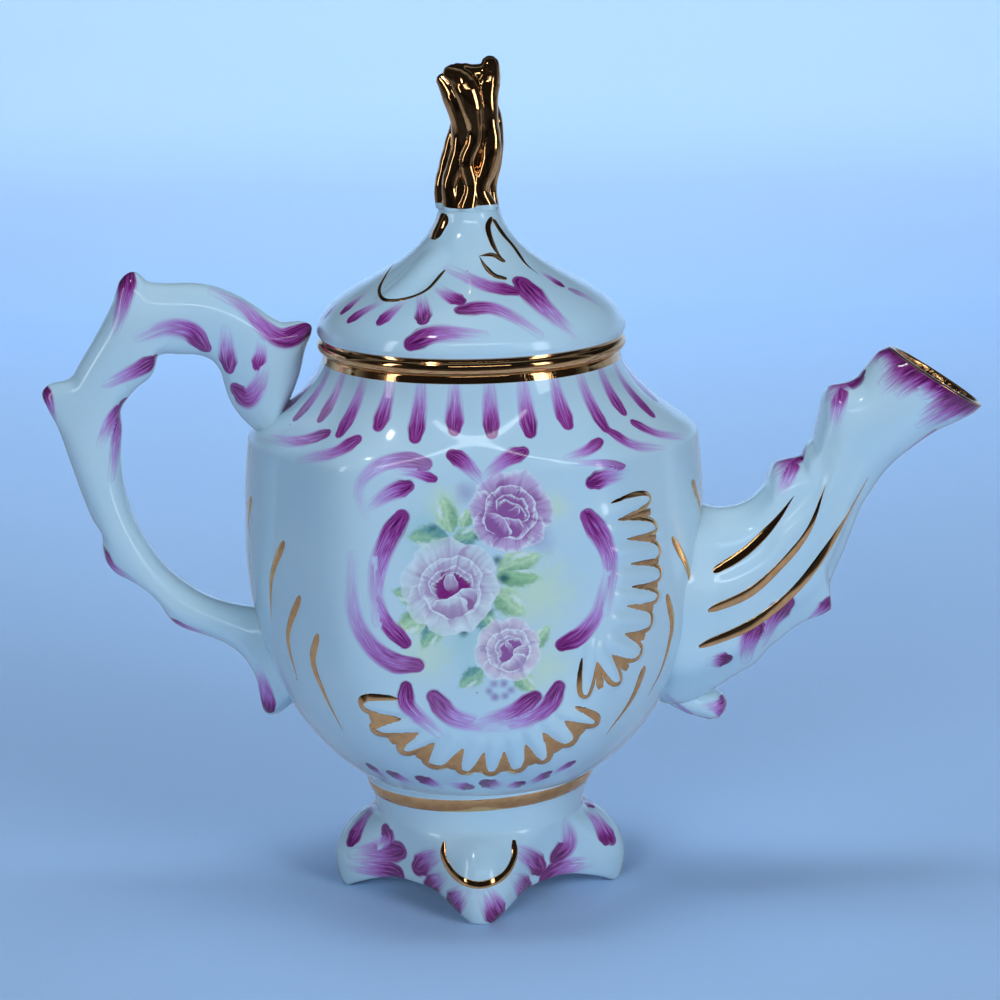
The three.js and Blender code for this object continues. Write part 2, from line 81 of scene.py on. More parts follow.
# Pedestal foot
FOOT_REACH = 21
FOOT_VALLEY = 14.2
FOOT_WAIST = 15
FOOT_LOBE_HEIGHT = 11.7
FOOT_SWELL_HEIGHT = 4
LOBE_FULLNESS = 1.4
LOBE_SOFTNESS = 2
TOE_SHARPNESS = 5
TOE_ROUND = 1.5
TOE_ROUND_HEIGHT = 4
EDGE_ROUND = 0.5
NECK_SWEEP = 1.9
BAND_Z = 16.4
BAND_HALF = 1.0
BAND_TILT = 0.045
BAND_SWELL = 0.25
ARCH_HALF_SPAN = 12.6
ARCH_HEIGHT = 3.2
RECESS_RADIUS = 12.4
RECESS_DEPTH = 13

# Spout and handle, across the plane that both lie in
SPOUT_WIDTHS = [18, 17.5, 14, 11.6, 11.4, 13]
SPOUT_WALL = 1.7
SPOUT_FLUTES = 9
FLUTE_DEPTH = 0.34
DROP_BREADTH = 1.5
HANDLE_WIDTHS = [9.4, 8, 6.8, 6.6, 6.6, 7, 7.6, 9.6]
SPOUT_FLARE = 0.9
LIP_ROUND = 0.25
LIP_THINNING = 0.62
# How near the plane, as a share of the section, leaf ends narrow to ridges
SPOUT_RIDGE = (0.3, 0.9)
HANDLE_RIDGE = (0.35, 0.95)

# Lid and its twig finial
LID_RADIUS = 21.8
LID_RIM_RISE = 2.8
LID_DOME_RISE = 17
LID_APEX_RADIUS = 4.3
DOME_EDGE_DRAW = 0.6
DOME_SHOULDER = 0.4
DOME_SWEEP = 0.45
DOME_SWEEP_RADIUS = 6.45
LID_CROWN_WALL = 2
HOLLOW_TIP = 0.3
LID_FLANGE_DEPTH = 6.5
FLANGE_WALL = 2.2
FLANGE_CLEARANCE = 0.6
FLANGE_ROUND = 0.3
BEAD_RADIUS = 0.9
DOT_RADIUS = 1.3
TWIG_VOXEL = 0.12
TWIG_SMOOTHING = 6
TWIG_DENTS = 0.035
LID_APEX_Z = MOUTH_Z + LID_RIM_RISE + LID_DOME_RISE

# Relief moulded in the porcelain: half width and height
TONGUE_RELIEF = (1.5, 0.4)
FOOT_SHELL_RELIEF = (4.4, 0.6)
LID_PETAL_RELIEF = (3.4, 0.5)
LID_DOT_RELIEF = (DOT_RADIUS + 0.5, 0.35)

# Half widths of the gilt lines
SIDE_FRILL_GILT = 0.42
SIDE_TOOTH_GILT = 0.65
LOWER_FRILL_GILT = 0.66
LOWER_TOOTH_GILT = 1.0
COMMA_GILT = 0.68
QUILL_GILT = 0.72
SHELL_GILT = 0.55
PETAL_GILT = 0.28
LEAF_GILT = 0.45

# Counts of points along and around the forms
BODY_FRONT_STEPS = 140
BODY_END_STEPS = 82
BOWL_STEPS = 112
FLANK_STEPS = 36
COLLAR_STEPS = 48
INSIDE_STEPS = 14
FOOT_SIDES = 480
NECK_STEPS = 44
LOBE_STEPS = 74
HANDLE_STATIONS = 430
HANDLE_SIDES = 88
SPOUT_STATIONS = 220
SPOUT_SIDES = 144
OUTLINE_STEPS = 900
LID_SIDES = 460
DOME_STEPS = 104
BEAD_STEPS = 16
HOLLOW_STEPS = 9


def blend(a, b, t):
    return a + (b - a) * t


def ease(value, low=0.0, high=1.0):
    """Smooth step from 0 to 1 as value goes from low to high."""
    t = np.clip((value - low) / (high - low), 0, 1)
    return t * t * (3 - 2 * t)


def row(points):
    """Millimetres about the pot's axis to metres in the row frame."""
    return (np.asarray(points, float) + AXIS) * MM


# Sight through the photograph's camera

ahead = np.array([math.sin(PAN) * math.cos(PITCH), math.cos(PAN) * math.cos(PITCH), -math.sin(PITCH)])
level = np.array([math.cos(PAN), -math.sin(PAN), 0])
above = np.cross(level, ahead)
rightward = math.cos(ROLL) * level + math.sin(ROLL) * above
upward = math.cos(ROLL) * above - math.sin(ROLL) * level


def sight(pixel):
    """Direction in which the camera sees a pixel of the photograph."""
    across, down = (np.asarray(pixel, float) - PICTURE_SIDE / 2) / FOCAL
    return ahead + across * rightward - down * upward


def in_plane(pixels):
    """Points that pixels show in the upright plane of spout and handle, as x and z."""
    ways = np.array([sight(p) for p in pixels])
    points = EYE + ways * (-EYE[1] / ways[:, 1])[:, None]
    return points[:, [0, 2]]


def smooth(points, count):
    """Evenly spaced points on a smooth curve through a few."""
    points = np.asarray(points, float)
    gaps = np.linalg.norm(np.diff(points, axis=0), axis=1)
    knots = np.concatenate([[0], np.cumsum(gaps ** 0.5)])
    slopes = np.gradient(points, knots, axis=0)
    fine = np.linspace(0, knots[-1], 10 * count)
    i = np.clip(np.searchsorted(knots, fine, side="right") - 1, 0, len(points) - 2)
    span = (knots[i + 1] - knots[i])[:, None]
    u = (fine - knots[i])[:, None] / span
    curve = (2 * u**3 - 3 * u**2 + 1) * points[i] + (u**3 - 2 * u**2 + u) * span * slopes[i]
    curve += (3 * u**2 - 2 * u**3) * points[i + 1] + (u**3 - u**2) * span * slopes[i + 1]
    walk = np.concatenate([[0], np.cumsum(np.linalg.norm(np.diff(curve, axis=0), axis=1))])
    even = np.linspace(0, walk[-1], count)
    return np.stack([np.interp(even, walk, c) for c in curve.T], axis=1)


# Skins: the pieces' surfaces, as arrays of points and faces


class Skin:
    """A closed surface of points, four-cornered faces and three-cornered ones."""

    def __init__(self, points, quads, tris):
        self.points, self.quads, self.tris = points, quads, tris

    @classmethod
    def over(cls, rings):
        """A skin over rings of equal counts, with a pole at each end and its faces outward."""
        rings = np.asarray(rings, float)
        count, around = rings.shape[:2]
        index = np.arange(count * around).reshape(count, around)
        following = np.roll(index, -1, axis=1)
        quads = np.stack([index[:-1], following[:-1], following[1:], index[1:]], axis=-1).reshape(-1, 4)
        pole = count * around
        tris = np.concatenate([
            np.stack([np.full(around, pole), following[0], index[0]], axis=1),
            np.stack([np.full(around, pole + 1), index[-1], following[-1]], axis=1)])
        points = np.concatenate([rings.reshape(-1, 3), [rings[0].mean(0), rings[-1].mean(0)]])
        corners = points[quads]
        turned = np.cross(corners[:, 2] - corners[:, 0], corners[:, 3] - corners[:, 1])
        if (corners.mean(1) * turned).sum() < 0:
            quads, tris = quads[:, ::-1], tris[:, ::-1]
        return cls(points, quads, tris)

    def normals(self):
        total = np.zeros_like(self.points)
        for faces in (self.quads, self.tris):
            corners = self.points[faces]
            normal = np.cross(corners[:, 2] - corners[:, 0], corners[:, -1] - corners[:, 1])
            for corner in faces.T:
                np.add.at(total, corner, normal)
        return total / np.maximum(np.linalg.norm(total, axis=1), 1e-12)[:, None]

    def faces(self):
        return self.quads.tolist() + self.tris.tolist()

    def tree(self):
        return BVHTree.FromPolygons(self.points.tolist(), self.faces())

    def emboss(self, reliefs):
        """Raises or sinks soft ridges along lines: each is the line, its half width and its height."""
        normals = self.normals()
        raised = np.zeros(len(self.points))
        for line, half_width, height in reliefs:
            rows, gap, _, _ = nearest(self.points, normals, line, half_width)
            lift = height * (1 - np.clip(gap / half_width, 0, 1) ** 2) ** 2
            raised[rows] = np.where(np.abs(lift) > np.abs(raised[rows]), lift, raised[rows])
        self.points = self.points + normals * raised[:, None]

    def object(self, name, material):
        mesh = bpy.data.meshes.new(name)
        mesh.from_pydata(row(self.points).tolist(), [], self.faces())
        mesh.shade_smooth()
        mesh.materials.append(material)
        made = bpy.data.objects.new(name, mesh)
        bpy.context.scene.collection.objects.link(made)
        return made


def nearest(points, normals, line, margin):
    """Rows of the points near a line, their distance from it, place along it and side of it."""
    low, high = line.min(0) - margin, line.max(0) + margin
    rows = np.flatnonzero(np.all((points > low) & (points < high), axis=1))
    start, step = line[:-1], np.diff(line, axis=0)
    away = points[rows][:, None] - start
    t = np.clip((away * step).sum(2) / (step * step).sum(1), 0, 1)
    away = away - t[..., None] * step
    gap = np.linalg.norm(away, axis=2)
    best = gap.argmin(1)
    pick = np.arange(len(rows))
    along = (best + t[pick, best]) / len(step)
    turned = np.cross(step[best], away[pick, best])
    side = np.sign((turned * normals[rows]).sum(1))
    return rows, gap[pick, best], along, side


def laid(tree, pixels, count=28):
    """A smooth line seen at pixels, laid on the surface that the camera finds there, with its normals."""
    hits = [tree.ray_cast(Vector(EYE), Vector(sight(p))) for p in smooth(pixels, count)]
    found = [(h[0], h[1]) for h in hits if h[0] is not None]
    return np.array([p for p, _ in found]), np.array([n for _, n in found])


BACK = np.array([1, -1, 1.0])
HALF_TURN = np.array([-1, -1, 1.0])


def set_attribute(mesh, name, values):
    kind = "FLOAT_VECTOR" if values.ndim == 2 else "FLOAT"
    attribute = mesh.attributes.new(name, kind, "POINT")
    attribute.data.foreach_set("vector" if values.ndim == 2 else "value", values.astype(np.float32).ravel())


# A stroke's widths along it, as shares of its widest, how many half widths beside it are worked out, and
# the distance that stands for no stroke
STROKE_WIDTHS = ([0, 0.14, 0.5, 1], [0.7, 1, 0.95, 0.62])
STROKE_REACH = 2.4
NO_STROKE = 3
SEED_STEP = 0.618


def paint(made, skin, strokes, gilt=None):
    """Writes brush strokes on a piece: for each point the place along the nearest stroke, across it and
    out to its edge, and the stroke's own seed, strength and length."""
    normals = skin.normals()
    brush = np.zeros((len(skin.points), 3))
    brush[:, 2] = NO_STROKE
    touch = np.zeros((len(skin.points), 3))
    for number, (line, half_width, strength) in enumerate(strokes):
        rows, gap, along, side = nearest(skin.points, normals, line, STROKE_REACH * half_width)
        width = half_width * np.interp(along, *STROKE_WIDTHS)
        edge = gap / width
        better = edge < brush[rows, 2]
        rows = rows[better]
        length = np.linalg.norm(np.diff(line, axis=0), axis=1).sum()
        brush[rows] = np.stack([along, side * edge, edge], axis=1)[better]
        touch[rows] = (number * SEED_STEP % 1, strength, length)
    set_attribute(made.data, "brush", brush)
    set_attribute(made.data, "touch", touch)
    set_attribute(made.data, "gilt", np.zeros(len(skin.points)) if gilt is None else gilt)


# Node trees


class Wires:
    """Short ways to add nodes to a tree and join them."""

    def __init__(self, tree):
        self.tree = tree

    def node(self, kind, inputs=(), **settings):
        made = self.tree.nodes.new(kind)
        for name, value in settings.items():
            setattr(made, name, value)
        for place, value in dict(inputs).items():
            self.join(value, made.inputs[place])
        return made

    def join(self, value, socket):
        if isinstance(value, bpy.types.NodeSocket):
            self.tree.links.new(value, socket)
        else:
            socket.default_value = value

    def math(self, operation, *values):
        return self.node("ShaderNodeMath", enumerate(values), operation=operation).outputs[0]

    def vector(self, operation, *values):
        made = self.node("ShaderNodeVectorMath", enumerate(values), operation=operation)
        return made.outputs["Value" if operation in ("LENGTH", "DOT_PRODUCT") else "Vector"]

    def split(self, vector):
        return self.node("ShaderNodeSeparateXYZ", {0: vector}).outputs

    def combine(self, x, y, z):
        return self.node("ShaderNodeCombineXYZ", {0: x, 1: y, 2: z}).outputs[0]

    def soft(self, value, low, high, to_low=0.0, to_high=1.0):
        """Smooth step of a value between two limits."""
        made = self.node("ShaderNodeMapRange", {0: value, 1: low, 2: high, 3: to_low, 4: to_high},
                         interpolation_type="SMOOTHSTEP")
        return made.outputs[0]

    def mix(self, factor, a, b):
        made = self.node("ShaderNodeMix", {0: factor, 6: a, 7: b}, data_type="RGBA")
        return made.outputs[2]

    def after(self, earlier, vector):
        """The vector as it is, but worked out after something else, so that a shader holds few values at a
        time."""
        if earlier is None:
            return vector
        return self.vector("MULTIPLY_ADD", earlier, (0.0, 0.0, 0.0), vector)

    def noise(self, vector, scale, detail=2.0, roughness=0.5):
        return self.node("ShaderNodeTexNoise", {0: vector, 2: scale, 3: detail, 4: roughness}).outputs[0]

    def ramp(self, value, stops):
        made = self.node("ShaderNodeValToRGB", {0: value})
        elements = made.color_ramp.elements
        while len(elements) < len(stops):
            elements.new(0.5)
        for element, (place, colour) in zip(elements, stops):
            element.position, element.color = place, colour
        return made.outputs[0]

    def attribute(self, name):
        return self.node("ShaderNodeAttribute", attribute_name=name).outputs

    def group(self, tree, **inputs):
        made = self.node("ShaderNodeGroup", node_tree=tree)
        for name, value in inputs.items():
            self.join(value, made.inputs[name])
        return made.outputs


def shader_group(name, inputs, outputs):
    """A new node group with named sockets: its wires, its inputs and what takes its outputs."""
    tree = bpy.data.node_groups.new(name, "ShaderNodeTree")
    for label, kind in inputs.items():
        tree.interface.new_socket(label, in_out="INPUT", socket_type="NodeSocket" + kind)
    for label, kind in outputs.items():
        tree.interface.new_socket(label, in_out="OUTPUT", socket_type="NodeSocket" + kind)
    wires = Wires(tree)
    return wires, wires.node("NodeGroupInput").outputs, wires.node("NodeGroupOutput").inputs


# Colours, in linear light
PORCELAIN = (0.64, 0.79, 0.83, 1)
PORCELAIN_COOL = (0.58, 0.76, 0.83, 1)
SPECK = (0.12, 0.11, 0.10, 1)
GOLD = (1.0, 0.56, 0.25, 1)
GOLD_WORN = (0.88, 0.46, 0.19, 1)
LILAC = (0.68, 0.49, 0.82, 1)
ORCHID = (0.55, 0.23, 0.60, 1)
MAGENTA = (0.34, 0.04, 0.26, 1)
PLUM = (0.10, 0.008, 0.07, 1)


# Finish of the glaze, and the relief of paint and glaze in millimetres
GLAZE_ROUGHNESS = 0.2
GLAZE_SPECULAR = 0.25
COAT_ROUGHNESS = 0.035
RELIEF_DEPTH = 0.06
RELIEF_STRENGTH = 0.5
STROKE_RELIEF = 0.25


def brush_group():
    """A loaded brush's stroke: dark pooled head, streaks lengthwise and a thin dry tail."""
    w, given, out = shader_group(
        "brush stroke", {"Brush": "Vector", "Touch": "Vector"}, {"Colour": "Color", "Cover": "Float"})
    along, across, edge = w.split(given["Brush"])
    seed, strength, length = w.split(given["Touch"])
    travel = w.math("MULTIPLY", along, length)
    shift = w.math("MULTIPLY", seed, 41.0)
    broad = w.noise(w.combine(w.math("MULTIPLY_ADD", across, 2.4, shift),
                              w.math("MULTIPLY", travel, 0.10), shift), 1.7, 3.0)
    fine = w.noise(w.combine(w.math("MULTIPLY_ADD", across, 6.5, shift),
                             w.math("MULTIPLY", travel, 0.22), shift), 1.9, 3.0)
    broad = w.math("SUBTRACT", broad, 0.5)
    fine = w.math("SUBTRACT", fine, 0.5)
    ragged = w.math("MULTIPLY_ADD", broad, 0.55, w.math("MULTIPLY_ADD", fine, 0.3, edge))
    head = w.soft(along, 0.0, 0.6, 1.0, 0.0)
    inside = w.soft(ragged, w.math("MULTIPLY_ADD", head, 0.4, 0.42), 1.06, 1.0, 0.0)
    reach = w.math("MULTIPLY_ADD", broad, 1.1, w.math("MULTIPLY_ADD", fine, 0.6, along))
    tail = w.soft(reach, 0.45, 1.15, 1.0, 0.0)
    load = w.math("MULTIPLY_ADD", head, 0.45, 0.28)
    load = w.math("MULTIPLY_ADD", fine, 1.25, load)
    load = w.math("MULTIPLY_ADD", broad, 0.9, load)
    load = w.math("MULTIPLY_ADD", w.math("SUBTRACT", strength, 1.0), 0.45, load)
    colour = w.ramp(load, [(0.0, LILAC), (0.34, ORCHID), (0.72, MAGENTA), (1.0, PLUM)])
    thick = w.math("MULTIPLY", w.soft(load, -0.3, 0.4, 0.4, 1.0), w.math("MINIMUM", strength, 1.0))
    cover = w.math("MULTIPLY", w.math("MULTIPLY", inside, tail), thick)
    w.join(colour, out["Colour"])
    w.join(cover, out["Cover"])
    return w.tree


def glaze_group():
    """White porcelain under its glaze: a faint cool drift of tint and a few kiln specks."""
    w, given, out = shader_group(
        "glazed porcelain", {"Place": "Vector"}, {"Colour": "Color", "Ripple": "Float"})
    drift = w.noise(given["Place"], 0.06, 2.0)
    colour = w.mix(w.soft(drift, 0.35, 0.7), PORCELAIN, PORCELAIN_COOL)
    specks = w.node("ShaderNodeTexVoronoi", {"Vector": given["Place"], "Scale": 0.28}).outputs
    chance = w.math("GREATER_THAN", w.split(specks["Color"])[0], 0.86)
    near_speck = w.soft(specks["Distance"], 0.02, 0.05, 0.75, 0.0)
    colour = w.mix(w.math("MULTIPLY", chance, near_speck), colour, SPECK)
    w.join(colour, out["Colour"])
    w.join(w.noise(given["Place"], 0.16, 1.0), out["Ripple"])
    return w.tree


def gold_group():
    """Fired gold: brushed on thin in places, so its tint and its polish wander a little."""
    w, given, out = shader_group(
        "fired gold", {"Place": "Vector"}, {"Colour": "Color", "Roughness": "Float"})
    wander = w.noise(given["Place"], 0.7, 3.0)
    w.join(w.mix(w.soft(wander, 0.35, 0.7), GOLD, GOLD_WORN), out["Colour"])
    w.join(w.soft(wander, 0.3, 0.8, 0.05, 0.15), out["Roughness"])
    return w.tree


brush_tree = brush_group()
glaze_tree = glaze_group()
gold_tree = gold_group()


def new_material(name):
    material = bpy.data.materials.new(name)
    material.use_nodes = True
    wires = Wires(material.node_tree)
    surface = material.node_tree.nodes["Principled BSDF"]
    seen = wires.node("ShaderNodeTexCoord").outputs["Object"]
    place = wires.vector("SUBTRACT", wires.vector("DIVIDE", seen, (MM, MM, MM)), tuple(AXIS))
    return material, wires, surface, place


def porcelain(name, spray=None):
    """Painted and gilded porcelain. Spray, where given, paints flowers over the bare glaze."""
    material, w, surface, place = new_material(name)
    glaze = w.group(glaze_tree, Place=place)
    colour = glaze["Colour"]
    if spray:
        colour = spray(w, place, colour)
    stroke = w.group(brush_tree, Brush=w.attribute("brush")["Vector"], Touch=w.attribute("touch")["Vector"])
    colour = w.mix(stroke["Cover"], colour, stroke["Colour"])
    gold = w.group(gold_tree, Place=place)
    gilt = w.soft(w.attribute("gilt")["Fac"], 0.35, 0.65)
    w.join(w.mix(gilt, colour, gold["Colour"]), surface.inputs["Base Color"])
    w.join(gilt, surface.inputs["Metallic"])
    bare = w.math("SUBTRACT", 1.0, gilt)
    glossy = w.math("MULTIPLY", bare, GLAZE_ROUGHNESS)
    w.join(w.math("MULTIPLY_ADD", gilt, gold["Roughness"], glossy), surface.inputs["Roughness"])
    w.join(bare, surface.inputs["Coat Weight"])
    surface.inputs["Specular IOR Level"].default_value = GLAZE_SPECULAR
    surface.inputs["Coat Roughness"].default_value = COAT_ROUGHNESS
    height = w.math("MULTIPLY_ADD", stroke["Cover"], STROKE_RELIEF, glaze["Ripple"])
    bump = w.node("ShaderNodeBump", {
        "Height": height, "Distance": RELIEF_DEPTH * MM, "Strength": RELIEF_STRENGTH})
    w.join(bump.outputs[0], surface.inputs["Normal"])
    return material


def gilding(name):
    material, w, surface, place = new_material(name)
    gold = w.group(gold_tree, Place=place)
    w.join(gold["Colour"], surface.inputs["Base Color"])
    w.join(gold["Roughness"], surface.inputs["Roughness"])
    surface.inputs["Metallic"].default_value = 1
    return material


# Rose spray, drawn flat on the front and on the back


# Petals of a rose of size 1, from the back to the front: way out of the heart in degrees, distance of the
# base from the heart, length, half width and depth of tone. The last ones are the cup, open upward.
ROSE_PETALS = [
    (152, 0.15, 0.82, 0.50, 0.25), (30, 0.15, 0.80, 0.48, 0.3), (98, 0.2, 0.78, 0.52, 0.1),
    (198, 0.05, 0.92, 0.42, 0.3), (-18, 0.05, 0.88, 0.42, 0.35), (246, 0.1, 0.82, 0.5, 0.25),
    (-62, 0.1, 0.8, 0.52, 0.2), (170, 0.0, 0.64, 0.36, 0.8), (12, 0.0, 0.62, 0.36, 0.75),
    (112, 0.04, 0.58, 0.40, 0.5), (62, 0.04, 0.55, 0.36, 0.65), (222, 0.0, 0.62, 0.40, 0.55),
    (-42, 0.0, 0.6, 0.42, 0.45), (140, 0.0, 0.4, 0.3, 1.1), (38, 0.0, 0.4, 0.3, 1.1),
    (90, -0.2, 0.46, 0.34, 1.9), (72, -0.14, 0.36, 0.1, 0.9),
    (112, -0.54, 0.42, 0.32, 0.6), (72, -0.58, 0.40, 0.36, 0.4)]


def petal_group():
    """A painted petal from its base at y = 0 to its rim at y = 1, streaked from the heart's tone to a pale
    rim."""
    w, given, out = shader_group(
        "painted petal",
        {"Place": "Vector", "Streak": "Float", "Base": "Float", "Rise": "Float",
         "Pale": "Color", "Deep": "Color", "Heart": "Color"},
        {"Colour": "Color", "Cover": "Float"})
    x, y, _ = w.split(given["Place"])
    rise = w.math("MULTIPLY_ADD", y, 2.0, -1.0)
    inside = w.math("SUBTRACT", 1.0, w.vector("LENGTH", w.combine(x, rise, 0.0)))
    tone = w.math("MULTIPLY_ADD", given["Streak"], 1.3, w.soft(y, 0.08, 0.9))
    brushed = w.math("MULTIPLY_ADD", given["Streak"], -0.55, inside)
    lit = w.math("MULTIPLY", w.soft(brushed, 0.0, 0.3, 0.95, 0.0), w.soft(y, 0.35, 0.75))
    tone = w.math("MINIMUM", w.math("MAXIMUM", tone, 0.0), 1.0)
    tone = w.math("MULTIPLY_ADD", tone, given["Rise"], given["Base"])
    dark = w.mix(w.soft(tone, 0.0, 0.5), given["Heart"], given["Deep"])
    w.join(w.mix(lit, w.mix(w.soft(tone, 0.5, 1.0), dark, given["Pale"]), ROSE_RIM), out["Colour"])
    w.join(w.soft(inside, 0.0, 0.06, 0.0, 0.96), out["Cover"])
    return w.tree


def rose_group():
    """A painted rose: its petals laid one over another round a dark heart."""
    w, given, out = shader_group(
        "painted rose",
        {"Place": "Vector", "Seed": "Vector", "Pale": "Color", "Deep": "Color", "Heart": "Color"},
        {"Colour": "Color", "Cover": "Float"})
    seed = given["Seed"]
    drawn = w.vector("ADD", given["Place"], seed)
    wander = w.node("ShaderNodeTexNoise", {0: drawn, 2: 2.2, 3: 2.0}).outputs["Color"]
    wander = w.vector("SUBTRACT", wander, (0.5, 0.5, 0.5))
    local = w.vector("MULTIPLY_ADD", wander, (0.34, 0.34, 0.0), given["Place"])
    way = w.vector("MULTIPLY_ADD", w.vector("NORMALIZE", local), (3.0, 3.0, 0.0), seed)
    streak = w.math("SUBTRACT", w.noise(way, 2.4, 3.0), 0.5)
    colour, bare = None, None
    for way_out, base, length, half_width, depth in ROSE_PETALS:
        angle = math.radians(way_out)
        foot = (base * math.cos(angle), base * math.sin(angle), 0)
        seat = w.node("ShaderNodeMapping", {
            0: w.after(colour, local), 1: foot, 2: (0, 0, angle - TURN / 4), 3: (half_width, length, 1)},
            vector_type="TEXTURE")
        base, rim = 0.5 - 0.5 * min(depth, 1), 1 - 0.3 * depth - 0.4 * max(depth - 1, 0)
        petal = w.group(petal_tree, Place=seat.outputs[0], Streak=streak, Base=base, Rise=rim - base,
                        Pale=given["Pale"], Deep=given["Deep"], Heart=given["Heart"])
        left = w.math("SUBTRACT", 1.0, petal["Cover"])
        colour = petal["Colour"] if colour is None else w.mix(petal["Cover"], colour, petal["Colour"])
        bare = left if bare is None else w.math("MULTIPLY", bare, left)
    w.join(colour, out["Colour"])
    w.join(w.math("SUBTRACT", 1.0, bare), out["Cover"])
    return w.tree


def leaf_group():
    """A painted leaf from its stalk at x = -1 to its tip at x = 1: two tones beside a pale vein, and a
    white light."""
    w, given, out = shader_group(
        "painted leaf", {"Place": "Vector", "Light": "Color", "Dark": "Color"},
        {"Colour": "Color", "Cover": "Float"})
    x, across, _ = w.split(given["Place"])
    along = w.math("MULTIPLY_ADD", x, 0.5, 0.5)
    rough = w.math("SUBTRACT", w.noise(given["Place"], 3.2, 3.0), 0.5)
    forward = w.math("POWER", w.math("MAXIMUM", along, 0.0), 0.75)
    width = w.math("SINE", w.math("MULTIPLY", forward, math.pi))
    inside = w.math("MULTIPLY_ADD", rough, 0.8, w.math("SUBTRACT", width, w.math("ABSOLUTE", across)))
    ends = w.math("MULTIPLY", w.soft(along, 0.0, 0.08), w.soft(along, 0.9, 1.0, 1.0, 0.0))
    tone = w.math("MULTIPLY_ADD", along, 0.5, w.soft(across, -0.6, 0.6, 0.0, 0.6))
    tone = w.math("MULTIPLY_ADD", rough, 1.4, tone)
    vein = w.soft(w.math("ABSOLUTE", across), 0.0, 0.14, 0.5, 0.0)
    colour = w.mix(vein, w.mix(tone, given["Dark"], given["Light"]), given["Light"])
    off_light = w.math("ABSOLUTE", w.math("MULTIPLY_ADD", rough, 0.5, w.math("SUBTRACT", across, 0.42)))
    light = w.math("MULTIPLY", w.soft(off_light, 0.04, 0.2, 0.75, 0.0), w.soft(along, 0.3, 0.5))
    w.join(w.mix(light, colour, ROSE_RIM), out["Colour"])
    w.join(w.math("MULTIPLY", w.soft(inside, 0.0, 0.4, 0.0, 0.92), ends), out["Cover"])
    return w.tree


ROSE_RIM = (0.90, 0.93, 0.92, 1)
petal_tree = petal_group()
rose_tree = rose_group()
leaf_tree = leaf_group()

LEAF_PALE = (0.72, 0.89, 0.54, 1)
LEAF_LIGHT = (0.46, 0.72, 0.37, 1)
LEAF_GREEN = (0.20, 0.43, 0.20, 1)
LEAF_TEAL = (0.09, 0.29, 0.30, 1)
LEAF_SHADE = (0.03, 0.13, 0.14, 1)
ROSE_WHITE = (0.78, 0.83, 0.82, 1)
ROSE_PINK = (0.54, 0.38, 0.55, 1)
ROSE_MAUVE = (0.69, 0.45, 0.68, 1)
ROSE_DEEP = (0.36, 0.12, 0.34, 1)
ROSE_HEART = (0.28, 0.02, 0.19, 1)
ROSE_FADED = (0.84, 0.70, 0.76, 1)
VIOLET = (0.30, 0.18, 0.44, 1)
HAZE_YELLOW = (0.76, 0.90, 0.52, 1)
HAZE_TEAL = (0.40, 0.66, 0.64, 1)

# Middle pixel, radius in millimetres, turn, colours
ROSES = [
    ((509, 650), 5.0, 0.7, ROSE_FADED, ROSE_PINK, ROSE_DEEP),
    ((511, 513), 6.2, -0.5, ROSE_MAUVE, ROSE_DEEP, ROSE_DEEP),
    ((452, 587), 7.4, 0.25, ROSE_WHITE, ROSE_PINK, ROSE_HEART),
]
# Stalk pixel, tip pixel, half width in millimetres, colours
LEAVES = [
    ((452, 540), (402, 536), 2.4, LEAF_LIGHT, LEAF_TEAL),
    ((452, 535), (440, 490), 2.0, LEAF_PALE, LEAF_GREEN),
    ((462, 530), (470, 505), 1.4, LEAF_PALE, LEAF_GREEN),
    ((452, 545), (484, 528), 1.8, LEAF_LIGHT, LEAF_TEAL),
    ((494, 572), (548, 552), 2.2, LEAF_PALE, LEAF_GREEN),
    ((494, 575), (546, 578), 2.0, LEAF_LIGHT, LEAF_GREEN),
    ((492, 590), (530, 618), 2.4, LEAF_PALE, LEAF_GREEN),
    ((425, 600), (388, 590), 1.8, LEAF_LIGHT, LEAF_TEAL),
    ((430, 612), (392, 634), 2.3, LEAF_PALE, LEAF_GREEN),
    ((440, 620), (420, 652), 1.8, LEAF_LIGHT, LEAF_TEAL),
    ((476, 612), (500, 636), 1.8, LEAF_LIGHT, LEAF_TEAL),
    ((494, 660), (482, 634), 1.3, LEAF_PALE, LEAF_GREEN),
    ((484, 668), (456, 690), 1.7, LEAF_LIGHT, LEAF_TEAL),
    ((514, 672), (538, 694), 1.7, LEAF_PALE, LEAF_GREEN),
    ((530, 650), (552, 622), 1.5, LEAF_PALE, LEAF_GREEN),
]
